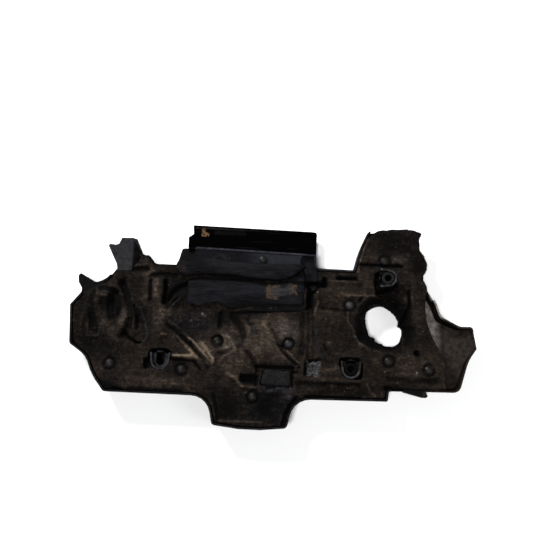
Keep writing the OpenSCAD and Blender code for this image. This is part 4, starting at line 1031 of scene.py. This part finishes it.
# Torn square where the foam's inside shows: middle, half width, soft edge and strength
TORN_PATCH, TORN_HALF, TORN_SOFT, TORN_SHARE = (65, -67), 11, 1.5, 0.9
# Torn edges of the rear right flap and of its end: start and reach in x, then in y
TORN_FLAP = (((205, 10), (60, 10)), ((150, 8), (152, 4)))
# Torn rear left edge: middle and half length in x, start and reach in y
TORN_LEFT, TORN_LEFT_HALF, TORN_LEFT_RISE = -188, 36, (76, 6)


def torn_borders(plan):
    """Share of torn edge: the rear left edge, the rear right flap and its end."""
    x, y = plan.T
    torn = plateau_edge(np.abs(x - TORN_LEFT), TORN_LEFT_HALF, PLATEAU_SLOPE) * rise_past(y, *TORN_LEFT_RISE)
    for across, along in TORN_FLAP:
        torn = np.maximum(torn, rise_past(x, *across) * rise_past(y, *along))
    return torn


def fill_pocket(mat):
    middle, size = FILLED_POCKET
    bpy.ops.mesh.primitive_cube_add(size=1, location=[v * MM for v in middle], scale=[v * MM for v in size])
    filling = bpy.context.object
    pick(mat)
    filling.select_set(True)
    bpy.ops.object.join()


def make_mat():
    mat = merged_copy("insulation_mat", "foam_mat")
    fill_pocket(mat)
    remesh(mat, MAT_VOXEL)
    points = coordinates(mat) / MM
    facing = normals(mat)
    plan = points[:, :2].copy()
    broad = broad_relief(plan)
    nominal = MAT_TOP + broad
    fine, tone, cool = fine_relief(plan)
    depth = nominal - points[:, 2]
    top = np.clip(1 - (depth - SKIN_DEPTH) / SKIN_FADE, 0, 1) * np.clip(facing[:, 2] * SKIN_FACING, 0, 1)
    lumps = ripples(points, LUMP_NOISE)
    points[:, 2] += top * (LEVEL_SHARE * depth + FOLD_GAIN * fine + lumps)
    side = 1 - np.abs(facing[:, 2])
    points[:, :2] += (side * (ripples(points, SIDE_NOISE) - SIDE_INSET))[:, None] * facing[:, :2]
    torn = torn_borders(plan) * side * ripples(points, TORN_NOISE)
    points[:, :2] += torn[:, None] * facing[:, :2]
    sag = sink_into_hole(points)
    set_coordinates(mat, points * MM)

    # Painted shade where the foam sags into the filler hole; lumps turn lighter on top, partly dust and
    # partly painted light
    tone += BASE_TONE - SAG_SHADE * sag + LUMP_DUST_AND_SHADE * lumps
    # Raised relief turns lighter and low ground darker, partly dust and dirt and partly painted light and
    # shade
    tone += RELIEF_DUST_AND_SHADE * np.clip(broad, -RELIEF_LIMIT, RELIEF_LIMIT)
    for (x, y), half_x, half_y, change, coolness in PATCHES:
        away = ((plan[:, 0] - x) / half_x) ** 2 + ((plan[:, 1] - y) / half_y) ** 2
        share = np.exp(-away ** PATCH_SHARPNESS)
        tone += change * share
        cool = np.maximum(cool, coolness * share)
    # Painted shade deep below the relief, in pockets and on the mat's sides
    depth = nominal + FOLD_GAIN * fine - points[:, 2]
    tone -= rise_past(depth, DEEP_START, DEEP_REACH) * DEEP_SHADE * (1 - sag)
    # Painted shade on steep faces of the relief
    slope = 1 - np.clip(normals(mat)[:, 2], 0, 1)
    tone -= SLOPE_SHADE * np.clip(slope, 0, 0.5) ** SLOPE_POWER
    away = np.abs(plan - np.array(TORN_PATCH)).max(axis=1) + ripples(points, PATCH_NOISE)
    store(mat, "tone", tone)
    store(mat, "cool", cool)
    store(mat, "bare", TORN_SHARE * np.clip((TORN_HALF - away) / TORN_SOFT, 0, 1))
    mat.data.materials.append(felt_skin())
    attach(mat, "root")
    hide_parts("insulation_mat")


# ---------------------------------------------------------------- foam roll, strip and block

BAR_VOXEL, BAR_PRESSURE, BAR_FILL = 3.2, 4.0, 0.8
# Lumps drawn out along the cover, and how far above the held height they reach their full share
BAR_STRETCH, BAR_NOISE, BAR_RISE = (0.35, 1, 1), ((1, 12, 7), (0.5, 5, 8)), 3
# CAD node, name, slot, held height, furthest swell and height of the lumps, in millimetres
BARS = (
    ("rear_foam_roll", "foam_roll", "dark_foam", 44.5, 2.0, 0.9),
    ("rear_foam_strip", "foam_strip", "dark_foam", 43.0, 1.2, 0.6),
    ("front_foam_block", "foam_block", "grey_foam", 34.0, 1.0, 0.5),
)


def make_soft_bar(node, name, base, cap, lump, material):
    bar = merged_copy(node, name)
    remesh(bar, BAR_VOXEL)
    puff(bar, BAR_PRESSURE, cap * MM, base * MM)
    finish_with(bar, "SUBSURF", levels=1, render_levels=1)
    points = coordinates(bar) / MM
    wave = lump * ripples(points * np.array(BAR_STRETCH), BAR_NOISE)
    points += (wave * rise_past(points[:, 2], base, BAR_RISE))[:, None] * normals(bar)
    set_coordinates(bar, points * MM)
    bar.data.materials.append(material)
    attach(bar, "root")
    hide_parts(node)


def make_soft_pieces():
    foams = {"dark_foam": rolled_foam(), "grey_foam": grey_foam()}
    for node, name, slot, base, cap, lump in BARS:
        make_soft_bar(node, name, base, cap, lump, foams[slot])


# ---------------------------------------------------------------- pieces that keep their solids

def dress_nodes():
    for names, material in (
        (("cover_shell",), moulded_plastic()),
        (("socket_grommet_front", "socket_grommet_rear"), dusty_rubber()),
        (("mat_retainers",), cap_plastic()),
    ):
        for name in names:
            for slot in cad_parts[name].material_slots:
                slot.material = material


add_camera()
add_studio()
make_mat()
make_soft_pieces()
dress_nodes()
